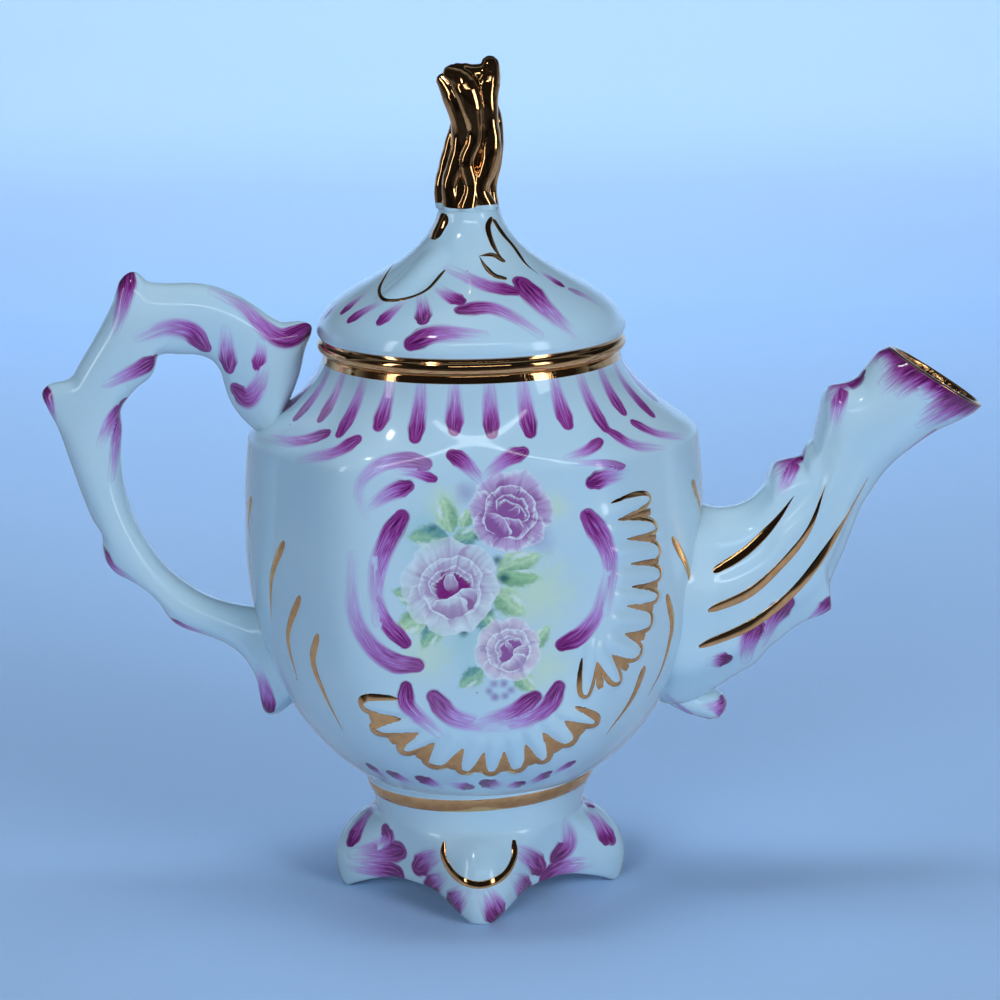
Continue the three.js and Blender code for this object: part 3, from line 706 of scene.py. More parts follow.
# Soft patches under the leaves, and small dabs over them: middle pixel, radius in millimetres, strength
# and colour
HAZES = [
    ((535, 592), 8.0, 0.6, HAZE_YELLOW), ((470, 640), 7.0, 0.55, HAZE_TEAL),
    ((425, 532), 5.5, 0.6, HAZE_TEAL), ((425, 655), 5.5, 0.5, HAZE_YELLOW),
    ((545, 668), 5.5, 0.5, HAZE_YELLOW), ((553, 506), 3.2, 0.5, HAZE_YELLOW),
    ((443, 502), 4.0, 0.5, HAZE_YELLOW), ((466, 494), 2.4, 0.5, VIOLET), ((540, 540), 3.0, 0.4, VIOLET)]
DABS = [
    ((447, 544), 1.3, 0.9, LEAF_SHADE), ((478, 536), 1.0, 0.8, LEAF_SHADE),
    ((433, 527), 0.9, 0.6, LEAF_SHADE), ((497, 560), 1.1, 0.85, LEAF_SHADE),
    ((504, 578), 1.2, 0.9, LEAF_SHADE), ((464, 632), 1.1, 0.85, LEAF_SHADE),
    ((490, 611), 1.0, 0.7, LEAF_SHADE), ((414, 605), 1.3, 0.7, LEAF_SHADE),
    ((494, 684), 0.9, 0.7, VIOLET), ((504, 684), 0.9, 0.75, VIOLET), ((511, 690), 0.9, 0.7, VIOLET),
    ((489, 691), 0.9, 0.7, VIOLET), ((495, 697), 0.9, 0.75, VIOLET), ((505, 696), 0.9, 0.7, VIOLET)]
SPRAY_DEPTH = 12


def flower_spray(tree):
    """The painter of the spray on the body whose surface tree is given."""
    def spot(pixel):
        point = tree.ray_cast(Vector(EYE), Vector(sight(pixel)))[0]
        return np.array([point.x, point.z])

    def painter(w, place, colour):
        x, y, z = w.split(place)
        flat = w.combine(x, z, 0.0)
        facing = w.soft(w.math("ABSOLUTE", y), SPRAY_DEPTH, SPRAY_DEPTH + 1)
        ruffle = w.noise(flat, 0.5, 3.0)

        def dabbed(colour, dabs):
            for pixel, radius, strength, tint in dabs:
                away = w.vector("SUBTRACT", w.after(colour, flat), (*spot(pixel), 0))
                far = w.math("MULTIPLY_ADD", ruffle, 0.7 * radius, w.vector("LENGTH", away))
                dab = w.soft(far, 0.35 * radius, 1.35 * radius, strength, 0.0)
                colour = w.mix(w.math("MULTIPLY", dab, facing), colour, tint)
            return colour

        def nearest_of(marks):
            """Where on the nearest of the marks a place lies, and what that mark is painted with."""
            chosen = None
            for middle, turn, size, *tints in marks:
                seen = w.after(chosen and chosen[0], flat)
                local = w.node("ShaderNodeMapping", {
                    0: seen, 1: (*middle, 0), 2: (0, 0, turn), 3: (*size, 1)}, vector_type="TEXTURE")
                found = [local.outputs[0], *tints]
                if chosen:
                    far, near = w.vector("LENGTH", found[0]), w.vector("LENGTH", chosen[0])
                    nearer = w.math("LESS_THAN", far, near)
                    found = [w.mix(nearer, a, b) for a, b in zip(chosen, found)]
                chosen = found
            return chosen

        colour = dabbed(colour, HAZES)
        marks = []
        for stalk, tip, half_width, *tints in LEAVES:
            start, end = spot(stalk), spot(tip)
            length = np.linalg.norm(end - start)
            turn = math.atan2(*(end - start)[::-1])
            marks.append(((start + end) / 2, turn, (length / 2, half_width), *tints))
        place, light, dark = nearest_of(marks)
        leaf = w.group(leaf_tree, Place=place, Light=light, Dark=dark)
        colour = w.mix(w.math("MULTIPLY", leaf["Cover"], facing), colour, leaf["Colour"])
        colour = dabbed(colour, DABS)
        marks = [(spot(middle), turn, (radius, radius), (turn, turn, turn, 1), *tints)
                 for middle, radius, turn, *tints in ROSES]
        place, seed, pale, deep, heart = nearest_of(marks)
        rose = w.group(rose_tree, Place=place, Seed=seed, Pale=pale, Deep=deep, Heart=heart)
        faded = w.math("MULTIPLY", facing, w.soft(w.vector("LENGTH", place), 0.72, 1.05, 1.0, 0.4))
        return w.mix(w.math("MULTIPLY", rose["Cover"], faded), colour, rose["Colour"])

    return painter


# Gilt lines: thin raised ribbons of gold along lines laid on the porcelain


def gilt_tree():
    tree = bpy.data.node_groups.new("gilt lines", "GeometryNodeTree")
    inputs = {"Lines": "Geometry", "Thickness": "Float", "Facets": "Int", "Gold": "Material"}
    for label, kind in inputs.items():
        tree.interface.new_socket(label, in_out="INPUT", socket_type="NodeSocket" + kind)
    tree.interface.new_socket("Ribbons", in_out="OUTPUT", socket_type="NodeSocketGeometry")
    w = Wires(tree)
    given = w.node("NodeGroupInput").outputs
    lie = w.node("GeometryNodeInputNamedAttribute", {0: "lie"}, data_type="FLOAT_VECTOR").outputs[0]
    girth = w.node("GeometryNodeInputNamedAttribute", {0: "girth"}, data_type="FLOAT").outputs[0]
    curve = w.node("GeometryNodeMeshToCurve", {0: given["Lines"]}).outputs[0]
    curve = w.node("GeometryNodeSetCurveNormal", {"Curve": curve}, mode="FREE")
    w.join(lie, curve.inputs["Normal"])
    circle = w.node("GeometryNodeCurvePrimitiveCircle", {
        "Resolution": given["Facets"], "Radius": 1.0}).outputs[0]
    flat = w.combine(given["Thickness"], 1.0, 1.0)
    profile = w.node("GeometryNodeTransform", {0: circle, "Scale": flat}).outputs[0]
    ribbon = w.node("GeometryNodeCurveToMesh", {
        "Curve": curve.outputs[0], "Profile Curve": profile, "Scale": girth, "Fill Caps": True}).outputs[0]
    ribbon = w.node("GeometryNodeSetShadeSmooth", {0: ribbon, "Shade Smooth": True}).outputs[0]
    ribbon = w.node("GeometryNodeRealizeInstances", {0: ribbon}).outputs[0]
    ribbon = w.node("GeometryNodeSetMaterial", {0: ribbon, "Material": given["Gold"]}).outputs[0]
    w.join(ribbon, w.node("NodeGroupOutput").inputs["Ribbons"])
    return tree


gilt_lines = gilt_tree()
SCALLOP_FULLNESS = 0.72
GILT_THICKNESS = 0.16
GILT_FACETS = 14
GILT_LIFT = 0.01
SCALLOP_STEPS = 17

# Width along a line, as shares of its widest
COMMA = ([0, 0.05, 0.16, 0.4, 1], [0.35, 0.85, 1, 0.75, 0.06])
QUILL = ([0, 0.04, 0.2, 0.6, 1], [0.3, 0.8, 1, 0.85, 0.05])
EVEN = ([0, 0.06, 0.94, 1], [0.45, 1, 1, 0.45])
SCALLOP = ([0, 0.08, 0.3, 0.5, 0.7, 0.92, 1], [0.2, 0.6, 1, 0.85, 1, 0.6, 0.2])
TOOTH = ([0, 0.35, 0.8, 1], [0.15, 0.55, 1, 0.7])


def gild(name, body, lines, material):
    """One piece of gilt ribbons: each line is points, normals, widest half width and widths along it."""
    points, normals, girths, edges = [], [], [], []
    for line, facing, half_width, (places, shares) in lines:
        start = len(points)
        walk = np.linspace(0, 1, len(line))
        points.extend(row(line + GILT_LIFT * facing))
        normals.extend(facing)
        girths.extend(half_width * MM * np.interp(walk, places, shares))
        edges.extend((start + i, start + i + 1) for i in range(len(line) - 1))
    mesh = bpy.data.meshes.new(name)
    mesh.from_pydata([tuple(p) for p in points], edges, [])
    set_attribute(mesh, "lie", np.array(normals))
    set_attribute(mesh, "girth", np.array(girths))
    made = bpy.data.objects.new(name, mesh)
    bpy.context.scene.collection.objects.link(made)
    modifier = made.modifiers.new("gilt lines", "NODES")
    modifier.node_group = gilt_lines
    settings = {"Thickness": GILT_THICKNESS, "Facets": GILT_FACETS, "Gold": material}
    for socket in gilt_lines.interface.items_tree:
        if socket.name in settings:
            modifier[socket.identifier] = settings[socket.name]
    bpy.context.view_layer.update()
    solid = bpy.data.meshes.new_from_object(made.evaluated_get(bpy.context.evaluated_depsgraph_get()))
    made.modifiers.clear()
    made.data = solid
    solid.name = name
    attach(made, body)
    return made


def frill_lines(points):
    """Scallops of a gilt frill: full rounds from cusp to cusp by way of each apex, in turn along the
    points."""
    swing = np.linspace(0, math.pi, SCALLOP_STEPS)[:, None]
    sway = np.sign(np.cos(swing)) * np.abs(np.cos(swing)) ** SCALLOP_FULLNESS
    bulge = np.abs(np.sin(swing)) ** SCALLOP_FULLNESS
    lines = []
    for cusp, apex, following in zip(points[0:-2:2], points[1::2], points[2::2]):
        middle = (np.array(cusp, float) + following) / 2
        lines.append(middle + sway * (cusp - middle) + bulge * (apex - middle))
    return lines


def frill_teeth(points):
    """The gold between neighbouring scallops of a frill, from each cusp outward."""
    lines = []
    for apex, cusp, following in zip(points[1:-2:2], points[2:-1:2], points[3::2]):
        outer = (np.array(apex, float) + following) / 2
        lines.append([blend(np.array(cusp, float), outer, share) for share in (0.0, 0.5, 0.92)])
    return lines


def tongues(points):
    """The moulded tongues that lie inside a frill's scallops."""
    lines = []
    for cusp, apex, following in zip(points[0:-2:2], points[1::2], points[2::2]):
        middle = (np.array(cusp, float) + following) / 2
        lines.append([blend(np.array(apex, float), middle, share) for share in (0.12, 0.7, 1.35)])
    return lines


# Forms


def octagon(angle, half_width, half_depth):
    """Distance from the axis to a soft octagon, broad in front and narrow at the ends."""
    cos, sin = np.abs(np.cos(angle)), np.abs(np.sin(angle))
    front = FRONT_FACET_HALF * half_width / BODY_HALF_WIDTH
    end = END_FACET_HALF * half_depth / BODY_HALF_DEPTH
    slope = np.array([half_depth - end, half_width - front])
    slope = slope / np.linalg.norm(slope)
    reach = slope[0] * front + slope[1] * half_depth
    faces = np.stack([cos / half_width, sin / half_depth, (slope[0] * cos + slope[1] * sin) / reach])
    return (faces ** FACET_CRISPNESS).sum(0) ** (-1 / FACET_CRISPNESS)


def body_radius(angle, z, grown=0.0):
    """The body's radius at a height, smaller or larger by a wall."""
    shoulder, mouth = SHOULDER_Z + grown, MOUTH_Z + grown
    rise = BELLY_Z - FOOT_HEIGHT
    down = max(0.0, BELLY_Z - z) / rise
    seat_share = (SEAT_RADIUS / BODY_HALF_WIDTH) ** BOWL_FULLNESS
    depth = rise / (1 - seat_share) ** (1 / BOWL_FULLNESS)
    share = (1 - min(0.999, max(0.0, BELLY_Z - z) / depth) ** BOWL_FULLNESS) ** (1 / BOWL_FULLNESS)
    share -= SHOULDER_DRAW / BODY_HALF_WIDTH * np.clip((z - BELLY_Z) / (shoulder - BELLY_Z), 0, 1) ** 2
    aspect = blend(BODY_HALF_DEPTH / BODY_HALF_WIDTH, 1, ease(down))
    half_width = BODY_HALF_WIDTH * share + grown
    half_depth = BODY_HALF_WIDTH * share * aspect + grown
    oval = 1 / np.hypot(np.cos(angle) / half_width, np.sin(angle) / half_depth)
    flank = blend(octagon(angle, half_width, half_depth), oval, ease(down))
    spread = max(0.0, (mouth - z) / (mouth - shoulder)) ** COLLAR_SWEEP
    if spread > 2:
        return flank
    collar = blend(MOUTH_RADIUS + grown, flank, spread)
    mixed = np.clip(0.5 + (collar - flank) / (2 * SHOULDER_ROUND), 0, 1)
    return blend(collar, flank, mixed) - SHOULDER_ROUND * mixed * (1 - mixed)


def around(angle, radius, z):
    radius, z = np.broadcast_arrays(radius, z)
    return np.stack([radius * np.cos(angle), radius * np.sin(angle), z * np.ones_like(angle)], axis=-1)


def body_form():
    front = np.linspace(-FRONT_FINE_HALF, FRONT_FINE_HALF, BODY_FRONT_STEPS)
    front_angles = np.arctan2(-BODY_HALF_DEPTH, front)
    side_angles = np.linspace(front_angles[-1], -front_angles[-1], BODY_END_STEPS)[1:-1]
    half = np.concatenate([front_angles, side_angles])
    angle = np.concatenate([half, half + math.pi])
    bowl = blend(FOOT_HEIGHT, BELLY_Z, np.linspace(0, 1, BOWL_STEPS) ** 1.12)
    heights = np.concatenate([bowl, np.linspace(BELLY_Z, SHOULDER_Z - 2, FLANK_STEPS)[1:],
                              np.linspace(SHOULDER_Z - 2, MOUTH_Z - 0.4, COLLAR_STEPS)[1:]])
    rings = [around(angle, body_radius(angle, z), z) for z in heights]
    inner = MOUTH_RADIUS - WALL
    rings += [around(angle, MOUTH_RADIUS - 0.15, MOUTH_Z - 0.1), around(angle, MOUTH_RADIUS - 0.5, MOUTH_Z),
              around(angle, inner + 0.5, MOUTH_Z), around(angle, inner + 0.1, MOUTH_Z - 0.15)]
    inside = blend(MOUTH_Z - WALL, FOOT_HEIGHT + WALL, np.linspace(0, 1, INSIDE_STEPS) ** 0.8)
    rings += [around(angle, body_radius(angle, z, -WALL), z) for z in inside]
    return Skin.over(rings)


def foot_edge(angle, radius):
    """Height of the foot's lower edge: on the table at the toes, arched between them."""
    bar = (ARCH_HALF_SPAN ** 2 + ARCH_HEIGHT ** 2) / (2 * ARCH_HEIGHT)
    quarter = np.mod(angle, TURN / 4) - TURN / 8
    aside = np.minimum(np.abs(radius * np.sin(quarter)), ARCH_HALF_SPAN)
    return np.maximum(0, np.sqrt(bar ** 2 - aside ** 2) - (bar - ARCH_HEIGHT))


def foot_radius(angle, z, edge):
    low = np.clip(1 - z / FOOT_LOBE_HEIGHT, 0, 1)
    lobe = np.abs(np.cos(2 * angle)) ** blend(LOBE_SOFTNESS, TOE_SHARPNESS, low)
    swell = blend(FOOT_VALLEY, FOOT_REACH, lobe)
    rise = np.clip((z - FOOT_SWELL_HEIGHT) / (FOOT_LOBE_HEIGHT - FOOT_SWELL_HEIGHT), 0, 1)
    radius = blend(FOOT_WAIST, swell, (1 - rise ** LOBE_FULLNESS) ** (1 / LOBE_FULLNESS))
    rounding = blend(EDGE_ROUND, TOE_ROUND, lobe)
    under = np.clip(1 - (z - edge) / blend(2 * EDGE_ROUND, TOE_ROUND_HEIGHT, lobe), 0, 1)
    return radius - rounding * (1 - np.sqrt(1 - under ** 2))


def foot_form():
    angle = np.linspace(0, TURN, FOOT_SIDES, endpoint=False)
    toe = blend(FOOT_VALLEY, FOOT_REACH - TOE_ROUND, np.abs(np.cos(2 * angle)) ** TOE_SHARPNESS)
    edge = foot_edge(angle, toe)
    rings = []
    for z in np.linspace(FOOT_HEIGHT, FOOT_LOBE_HEIGHT, NECK_STEPS)[:-1]:
        rise = (z - FOOT_LOBE_HEIGHT) / (FOOT_HEIGHT - FOOT_LOBE_HEIGHT)
        neck = blend(FOOT_WAIST, SEAT_RADIUS, rise ** NECK_SWEEP)
        off_band = np.clip((z - BAND_Z - BAND_TILT * neck * np.cos(angle)) / BAND_HALF, -1, 1)
        rings.append(around(angle, neck + BAND_SWELL * np.sqrt(1 - off_band ** 2), z))
    for share in np.linspace(0, 1, LOBE_STEPS)[1:] ** 0.8:
        z = blend(FOOT_LOBE_HEIGHT, edge, share)
        rings.append(around(angle, foot_radius(angle, z, edge), z))
    rim = foot_radius(angle, edge, edge)
    for share in (0.35, 0.75, 1):
        radius = blend(rim, RECESS_RADIUS, share)
        rings.append(around(angle, radius, foot_edge(angle, radius)))
    for a in np.linspace(0, TURN / 4, 9)[1:-1]:
        rings.append(around(angle, RECESS_RADIUS * math.cos(a),
                            np.maximum(RECESS_DEPTH * math.sin(a), foot_edge(angle, RECESS_RADIUS))))
    return Skin.over(rings)


def reach_to(middle, way, outline):
    """How far an outline lies from each middle in its direction, as the nearest crossing."""
    start, step = outline[:-1], np.diff(outline, axis=0)
    rel = start[None] - middle[:, None]
    cross = way[:, None, 0] * step[None, :, 1] - way[:, None, 1] * step[None, :, 0]
    safe = np.where(np.abs(cross) < 1e-12, 1e-12, cross)
    far = (rel[..., 0] * step[None, :, 1] - rel[..., 1] * step[None, :, 0]) / safe
    place = (rel[..., 0] * way[:, None, 1] - rel[..., 1] * way[:, None, 0]) / safe
    valid = (place >= 0) & (place <= 1) & (far > 0)
    return np.where(valid, far, np.inf).min(1)


def calm(values, width):
    """A run of values without its short waves."""
    kernel = np.hanning(2 * width + 1)
    padded = np.pad(values, width, mode="edge")
    return np.convolve(padded, kernel / kernel.sum(), mode="valid")


def limb(pairs, outer_pixels, inner_pixels, widths, stations, sides, ridge):
    """Rings of a limb that lies in the upright plane: its outlines there are those of the photograph,
    and leaf ends that stand out of the calm outline narrow to ridges. Also gives the places used."""
    outer = smooth(in_plane([a for a, _ in pairs]), stations)
    inner = smooth(in_plane([b for _, b in pairs]), stations)
    middle = (outer + inner) / 2
    way = (outer - inner) / np.linalg.norm(outer - inner, axis=1)[:, None]
    fallback = np.linalg.norm(outer - inner, axis=1) / 2
    angle = np.linspace(0, TURN, sides, endpoint=False)
    extents = []
    for sign, pixels in ((1, outer_pixels), (-1, inner_pixels)):
        far = reach_to(middle, sign * way, smooth(in_plane(pixels), OUTLINE_STEPS))
        far = np.where(np.isfinite(far) & (far < 2.2 * fallback), far, fallback)
        extents.append((calm(far, 2), calm(far, 26)))
    half_width = np.interp(np.linspace(0, 1, stations), np.linspace(0, 1, len(widths)), widths) / 2
    half_width = calm(half_width, 24)
    rings = []
    for i in range(stations):
        cos, sin = np.cos(angle), np.sin(angle)
        sharp = np.where(cos > 0, extents[0][0][i], extents[1][0][i])
        soft = np.where(cos > 0, extents[0][1][i], extents[1][1][i])
        crest = ease(np.abs(cos), *ridge)
        lengthwise = cos * blend(soft, sharp, crest)
        place = middle[i] + lengthwise[:, None] * way[i]
        rings.append(np.stack([place[:, 0], half_width[i] * sin, place[:, 1]], axis=1))
    return np.array(rings), middle, way, angle


# Outer and inner pixels of sections along the handle, from its foot to where it meets the shoulder
HANDLE_SECTIONS = [
    ((292, 700), (275, 610)), ((268, 692), (262, 608)), ((243, 657), (245, 606)),
    ((207, 636), (222, 600)), ((172, 622), (194, 587)), ((137, 590), (165, 563)),
    ((107, 552), (143, 534)), ((86, 505), (126, 495)), ((69, 460), (121, 455)), ((60, 415), (123, 425)),
    ((68, 375), (133, 392)), ((98, 328), (150, 370)), ((122, 290), (165, 357)),
    ((165, 283), (183, 354)), ((213, 287), (205, 357)), ((253, 305), (218, 366)),
    ((290, 328), (224, 383)), ((307, 345), (230, 400)), ((300, 373), (240, 414)),
    ((290, 402), (252, 425)), ((280, 425), (264, 438))]
HANDLE_OUTSIDE = [
    (300, 694), (287, 707), (275, 714), (267, 713), (261, 702), (260, 687), (253, 668), (242, 653),
    (227, 642), (207, 634), (187, 628), (174, 621), (167, 613), (160, 602), (148, 590), (132, 580),
    (117, 573), (107, 562), (103, 546), (102, 534), (92, 517), (82, 493), (70, 460), (57, 425),
    (47, 407), (42, 393), (48, 385), (70, 378), (80, 362), (100, 327), (112, 303), (120, 280),
    (130, 272), (138, 273), (147, 281), (160, 283), (193, 283), (213, 286), (233, 293), (253, 304),
    (270, 316), (282, 322), (300, 321), (312, 326), (305, 350), (300, 373), (289, 402), (276, 430)]
HANDLE_INSIDE = [
    (280, 611), (253, 607), (227, 602), (207, 595), (183, 580), (163, 562), (147, 540), (135, 518),
    (127, 495), (122, 473), (121, 453), (122, 427), (121, 410), (128, 398), (137, 388), (150, 377),
    (156, 366), (157, 358), (163, 354), (180, 354), (200, 355), (212, 360), (220, 370), (224, 383),
    (230, 400), (240, 415), (248, 423), (268, 442)]

# Back and belly pixels of sections along the spout, from inside the body to its lip
SPOUT_SECTIONS = [
    ((688, 511), (656, 690)), ((712, 509), (708, 684)), ((735, 505), (745, 664)),
    ((755, 494), (775, 640)), ((768, 474), (802, 610)), ((788, 460), (825, 580)),
    ((806, 444), (845, 545)), ((818, 415), (858, 510)), ((828, 390), (874, 484)),
    ((848, 381), (894, 461)), ((864, 368), (920, 441)), ((879, 353), (950, 424)),
    ((889, 347), (981, 405))]
SPOUT_BACK = [
    (680, 511), (710, 508), (732, 506), (746, 501), (758, 491), (766, 480), (769, 471), (774, 463),
    (786, 459), (801, 455), (804, 448), (812, 438), (816, 424), (820, 407), (823, 394), (829, 386),
    (838, 384), (848, 382), (857, 377), (861, 372), (870, 361), (878, 352), (889, 347), (896, 342)]
SPOUT_BELLY = [
    (650, 690), (672, 697), (690, 697), (705, 692), (718, 684), (728, 677), (738, 671), (752, 663),
    (760, 655), (769, 645), (777, 639), (791, 628), (805, 620), (822, 614), (833, 606), (833, 596),
    (828, 589), (833, 572), (842, 552), (853, 524), (861, 505), (872, 488), (884, 471), (898, 457),
    (914, 445), (928, 435), (940, 428), (956, 421), (973, 412), (981, 405), (990, 398)]


def handle_form():
    rings, _, _, _ = limb(HANDLE_SECTIONS, HANDLE_OUTSIDE, HANDLE_INSIDE, HANDLE_WIDTHS,
                          HANDLE_STATIONS, HANDLE_SIDES, HANDLE_RIDGE)
    return Skin.over(rings)


def spout_form():
    rings, middle, _, angle = limb(SPOUT_SECTIONS, SPOUT_BACK, SPOUT_BELLY, SPOUT_WIDTHS,
                                   SPOUT_STATIONS, SPOUT_SIDES, SPOUT_RIDGE)
    place = np.linspace(0, 1, SPOUT_STATIONS)[:, None]
    centre = np.stack([middle[:, 0], np.zeros(SPOUT_STATIONS), middle[:, 1]], axis=1)[:, None]
    outward = rings - centre
    size = np.linalg.norm(outward, axis=2, keepdims=True)
    outward = outward / size
    fluted = (1 - ease(place, 0.45, 0.8)) * np.abs(np.sin(angle))
    flutes = FLUTE_DEPTH * np.cos(SPOUT_FLUTES * angle) * fluted
    flare = SPOUT_FLARE * (1 - ease(place, 0.02, 0.12))
    rings = rings + outward * (flutes + flare)[..., None]
    wall = SPOUT_WALL * blend(LIP_THINNING, 1, 1 - ease(place, 0.85, 1))[..., None]
    bore = rings - outward * np.minimum(wall, 0.6 * size)
    lip = [blend(rings[-1], bore[-1], share) for share in (0.25, 0.75)]
    forward = rings[-1].mean(0) - rings[-4].mean(0)
    lip = [ring + LIP_ROUND * forward / np.linalg.norm(forward) for ring in lip]
    return Skin.over(np.concatenate([rings, lip, bore[::-1][::3]]))


def bezier(points, count):
    t = np.linspace(0, 1, count)[:, None]
    points = [np.array(p, float) for p in points]
    while len(points) > 1:
        points = [blend(a, b, t) for a, b in zip(points, points[1:])]
    return points[0]


def lid_form():
    angle = np.linspace(0, TURN, LID_SIDES, endpoint=False)
    rim, apex = (LID_RADIUS, LID_RIM_RISE), (LID_APEX_RADIUS, LID_RIM_RISE + LID_DOME_RISE)
    dome = bezier([rim, (LID_RADIUS - DOME_EDGE_DRAW, LID_RIM_RISE + DOME_SHOULDER * LID_DOME_RISE),
                   (DOME_SWEEP_RADIUS, LID_RIM_RISE + DOME_SWEEP * LID_DOME_RISE), apex], DOME_STEPS)
    turns = np.linspace(-0.28 * TURN, 0.2 * TURN, BEAD_STEPS)
    bead = np.stack([LID_RADIUS - BEAD_RADIUS + BEAD_RADIUS * np.cos(turns),
                     BEAD_RADIUS + BEAD_RADIUS * np.sin(turns)], axis=1)
    edge = np.concatenate([[(MOUTH_RADIUS - FLANGE_ROUND, 0)], bead, [rim]])
    outer = MOUTH_RADIUS - WALL - FLANGE_CLEARANCE
    inner = outer - FLANGE_WALL
    hollow = bezier([(inner, LID_RIM_RISE), (inner, DOME_SHOULDER * LID_DOME_RISE),
                     (LID_APEX_RADIUS, DOME_SWEEP * LID_DOME_RISE),
                     (HOLLOW_TIP, LID_DOME_RISE - LID_CROWN_WALL)], HOLLOW_STEPS)
    flange = [(inner, FLANGE_ROUND - LID_FLANGE_DEPTH), (inner + FLANGE_ROUND, -LID_FLANGE_DEPTH),
              (outer - FLANGE_ROUND, -LID_FLANGE_DEPTH), (outer, FLANGE_ROUND - LID_FLANGE_DEPTH),
              (outer, 0)]
    crown = [(0.4 * LID_APEX_RADIUS, apex[1])]
    profile = np.concatenate([hollow[::-1], flange, edge, dome[1:], crown])
    return Skin.over([around(angle, r, MOUTH_Z + h) for r, h in profile])


def rod(points, radii, count=24, sides=20):
    """A round strand with rounded ends through points of given radii."""
    line = smooth(points, count)
    girth = np.interp(np.linspace(0, 1, count), np.linspace(0, 1, len(radii)), radii)
    way = np.gradient(line, axis=0)
    way /= np.linalg.norm(way, axis=1)[:, None]
    first = np.cross(way, np.array([0, 1.0, 0.13]))
    first /= np.linalg.norm(first, axis=1)[:, None]
    second = np.cross(way, first)
    angle = np.linspace(0, TURN, sides, endpoint=False)[:, None]
    rings = [p + r * (np.cos(angle) * f + np.sin(angle) * s)
             for p, r, f, s in zip(line, girth, first, second)]

    def rounded(end, onward, turns):
        return [line[end] + (rings[end] - line[end]) * math.cos(a) + onward * girth[end] * math.sin(a)
                for a in turns]

    return Skin.over([*rounded(0, -way[0], (1.2, 0.6)), *rings, *rounded(-1, way[-1], (0.6, 1.2))])


def joined(first, second):
    """One skin of two that overlap."""
    start = len(first.points)
    return Skin(np.concatenate([first.points, second.points]),
                np.concatenate([first.quads, second.quads + start]),
                np.concatenate([first.tris, second.tris + start]))


def fused(skins, voxel, rounds):
    """One skin round several that overlap, with their creases softened."""
    points, faces, start = [], [], 0
    for skin in skins:
        points.extend(skin.points.tolist())
        faces.extend([[start + i for i in face] for face in skin.faces()])
        start += len(skin.points)
    mesh = bpy.data.meshes.new("strands")
    mesh.from_pydata(points, [], faces)
    made = bpy.data.objects.new("strands", mesh)
    bpy.context.scene.collection.objects.link(made)
    remesh = made.modifiers.new("fuse", "REMESH")
    remesh.mode, remesh.voxel_size = "VOXEL", voxel
    soften = made.modifiers.new("soften", "SMOOTH")
    soften.factor, soften.iterations = 0.5, rounds
    bpy.context.view_layer.update()
    solid = bpy.data.meshes.new_from_object(made.evaluated_get(bpy.context.evaluated_depsgraph_get()))
    found = np.zeros(3 * len(solid.vertices))
    solid.vertices.foreach_get("co", found)
    polygons = [list(p.vertices) for p in solid.polygons]
    quads = np.array([p for p in polygons if len(p) == 4])
    tris = np.array([p for p in polygons if len(p) == 3]).reshape(-1, 3).astype(int)
    bpy.data.objects.remove(made)
    return Skin(found.reshape(-1, 3), quads, tris)


# Strands of the twig finial, from its foot upward: pixels, depth behind the plane and radius in millimetres
FINIAL_STRANDS = [
    [(467, 206, 0, 3.6), (468, 170, 0, 2.9), (477, 130, 0.2, 2.7), (480, 100, 0, 2.4), (478, 84, 0, 2.3)],
    [(467, 206, 2.2, 2.0), (467, 170, 2.0, 1.8), (473, 130, 1.7, 1.7), (476, 90, 0.8, 1.9)],
    [(442, 206, 0.2, 0.9), (441, 190, 0.3, 1.0), (445, 168, 0.2, 1.0), (450, 146, 0, 0.9),
     (455, 124, -0.2, 0.7), (458, 108, -0.3, 0.6)],
    [(453, 206, -2.0, 1.4), (450, 184, -2.0, 1.2), (457, 160, -1.8, 1.3), (462, 136, -1.6, 1.3),
     (463, 116, -1.5, 1.6), (457, 99, -1.3, 2.0), (449, 87, -0.9, 1.9), (443, 80, -0.6, 1.0)],
    [(468, 206, -2.7, 1.5), (472, 184, -2.5, 1.1), (467, 160, -2.6, 1.2), (475, 136, -2.5, 1.2),
     (473, 112, -2.4, 1.3), (468, 92, -2.0, 1.9), (461, 79, -1.2, 2.2), (453, 74, -0.6, 1.5)],
    [(486, 206, -2.0, 1.6), (480, 188, -2.3, 1.2), (488, 164, -2.0, 1.4), (491, 138, -1.9, 1.5),
     (488, 112, -1.8, 1.3), (487, 92, -1.6, 1.5), (489, 78, -1.2, 1.7), (490, 65, -0.6, 1.4)],
    [(493, 206, 0.2, 0.9), (491, 188, 0.2, 0.8), (496, 164, 0.1, 0.8), (498, 140, 0, 0.8),
     (496, 116, -0.2, 0.8), (491, 98, -0.4, 0.7)],
    [(474, 92, 0, 2.3), (466, 77, -0.3, 2.3), (458, 73, -0.4, 1.5)],
    [(472, 76, -0.4, 1.7), (484, 75, -0.6, 1.7)]]


def finial_form():
    strands = []
    for strand in FINIAL_STRANDS:
        spots = in_plane([s[:2] for s in strand])
        points = [(x, depth, z) for (x, z), (_, _, depth, _) in zip(spots, strand)]
        strands.append(rod(points, [s[3] for s in strand]))
    skin = fused(strands, TWIG_VOXEL, TWIG_SMOOTHING)
    x, y, z = skin.points.T
    dents = TWIG_DENTS * np.sin(1.1 * z + 1.7 * x) * np.cos(0.7 * z - 1.9 * y)
    skin.points = skin.points + skin.normals() * dents[:, None]
    skin.points[:, 2] = np.maximum(skin.points[:, 2], LID_APEX_Z)
    return skin


# Decoration, by pixels of the photograph

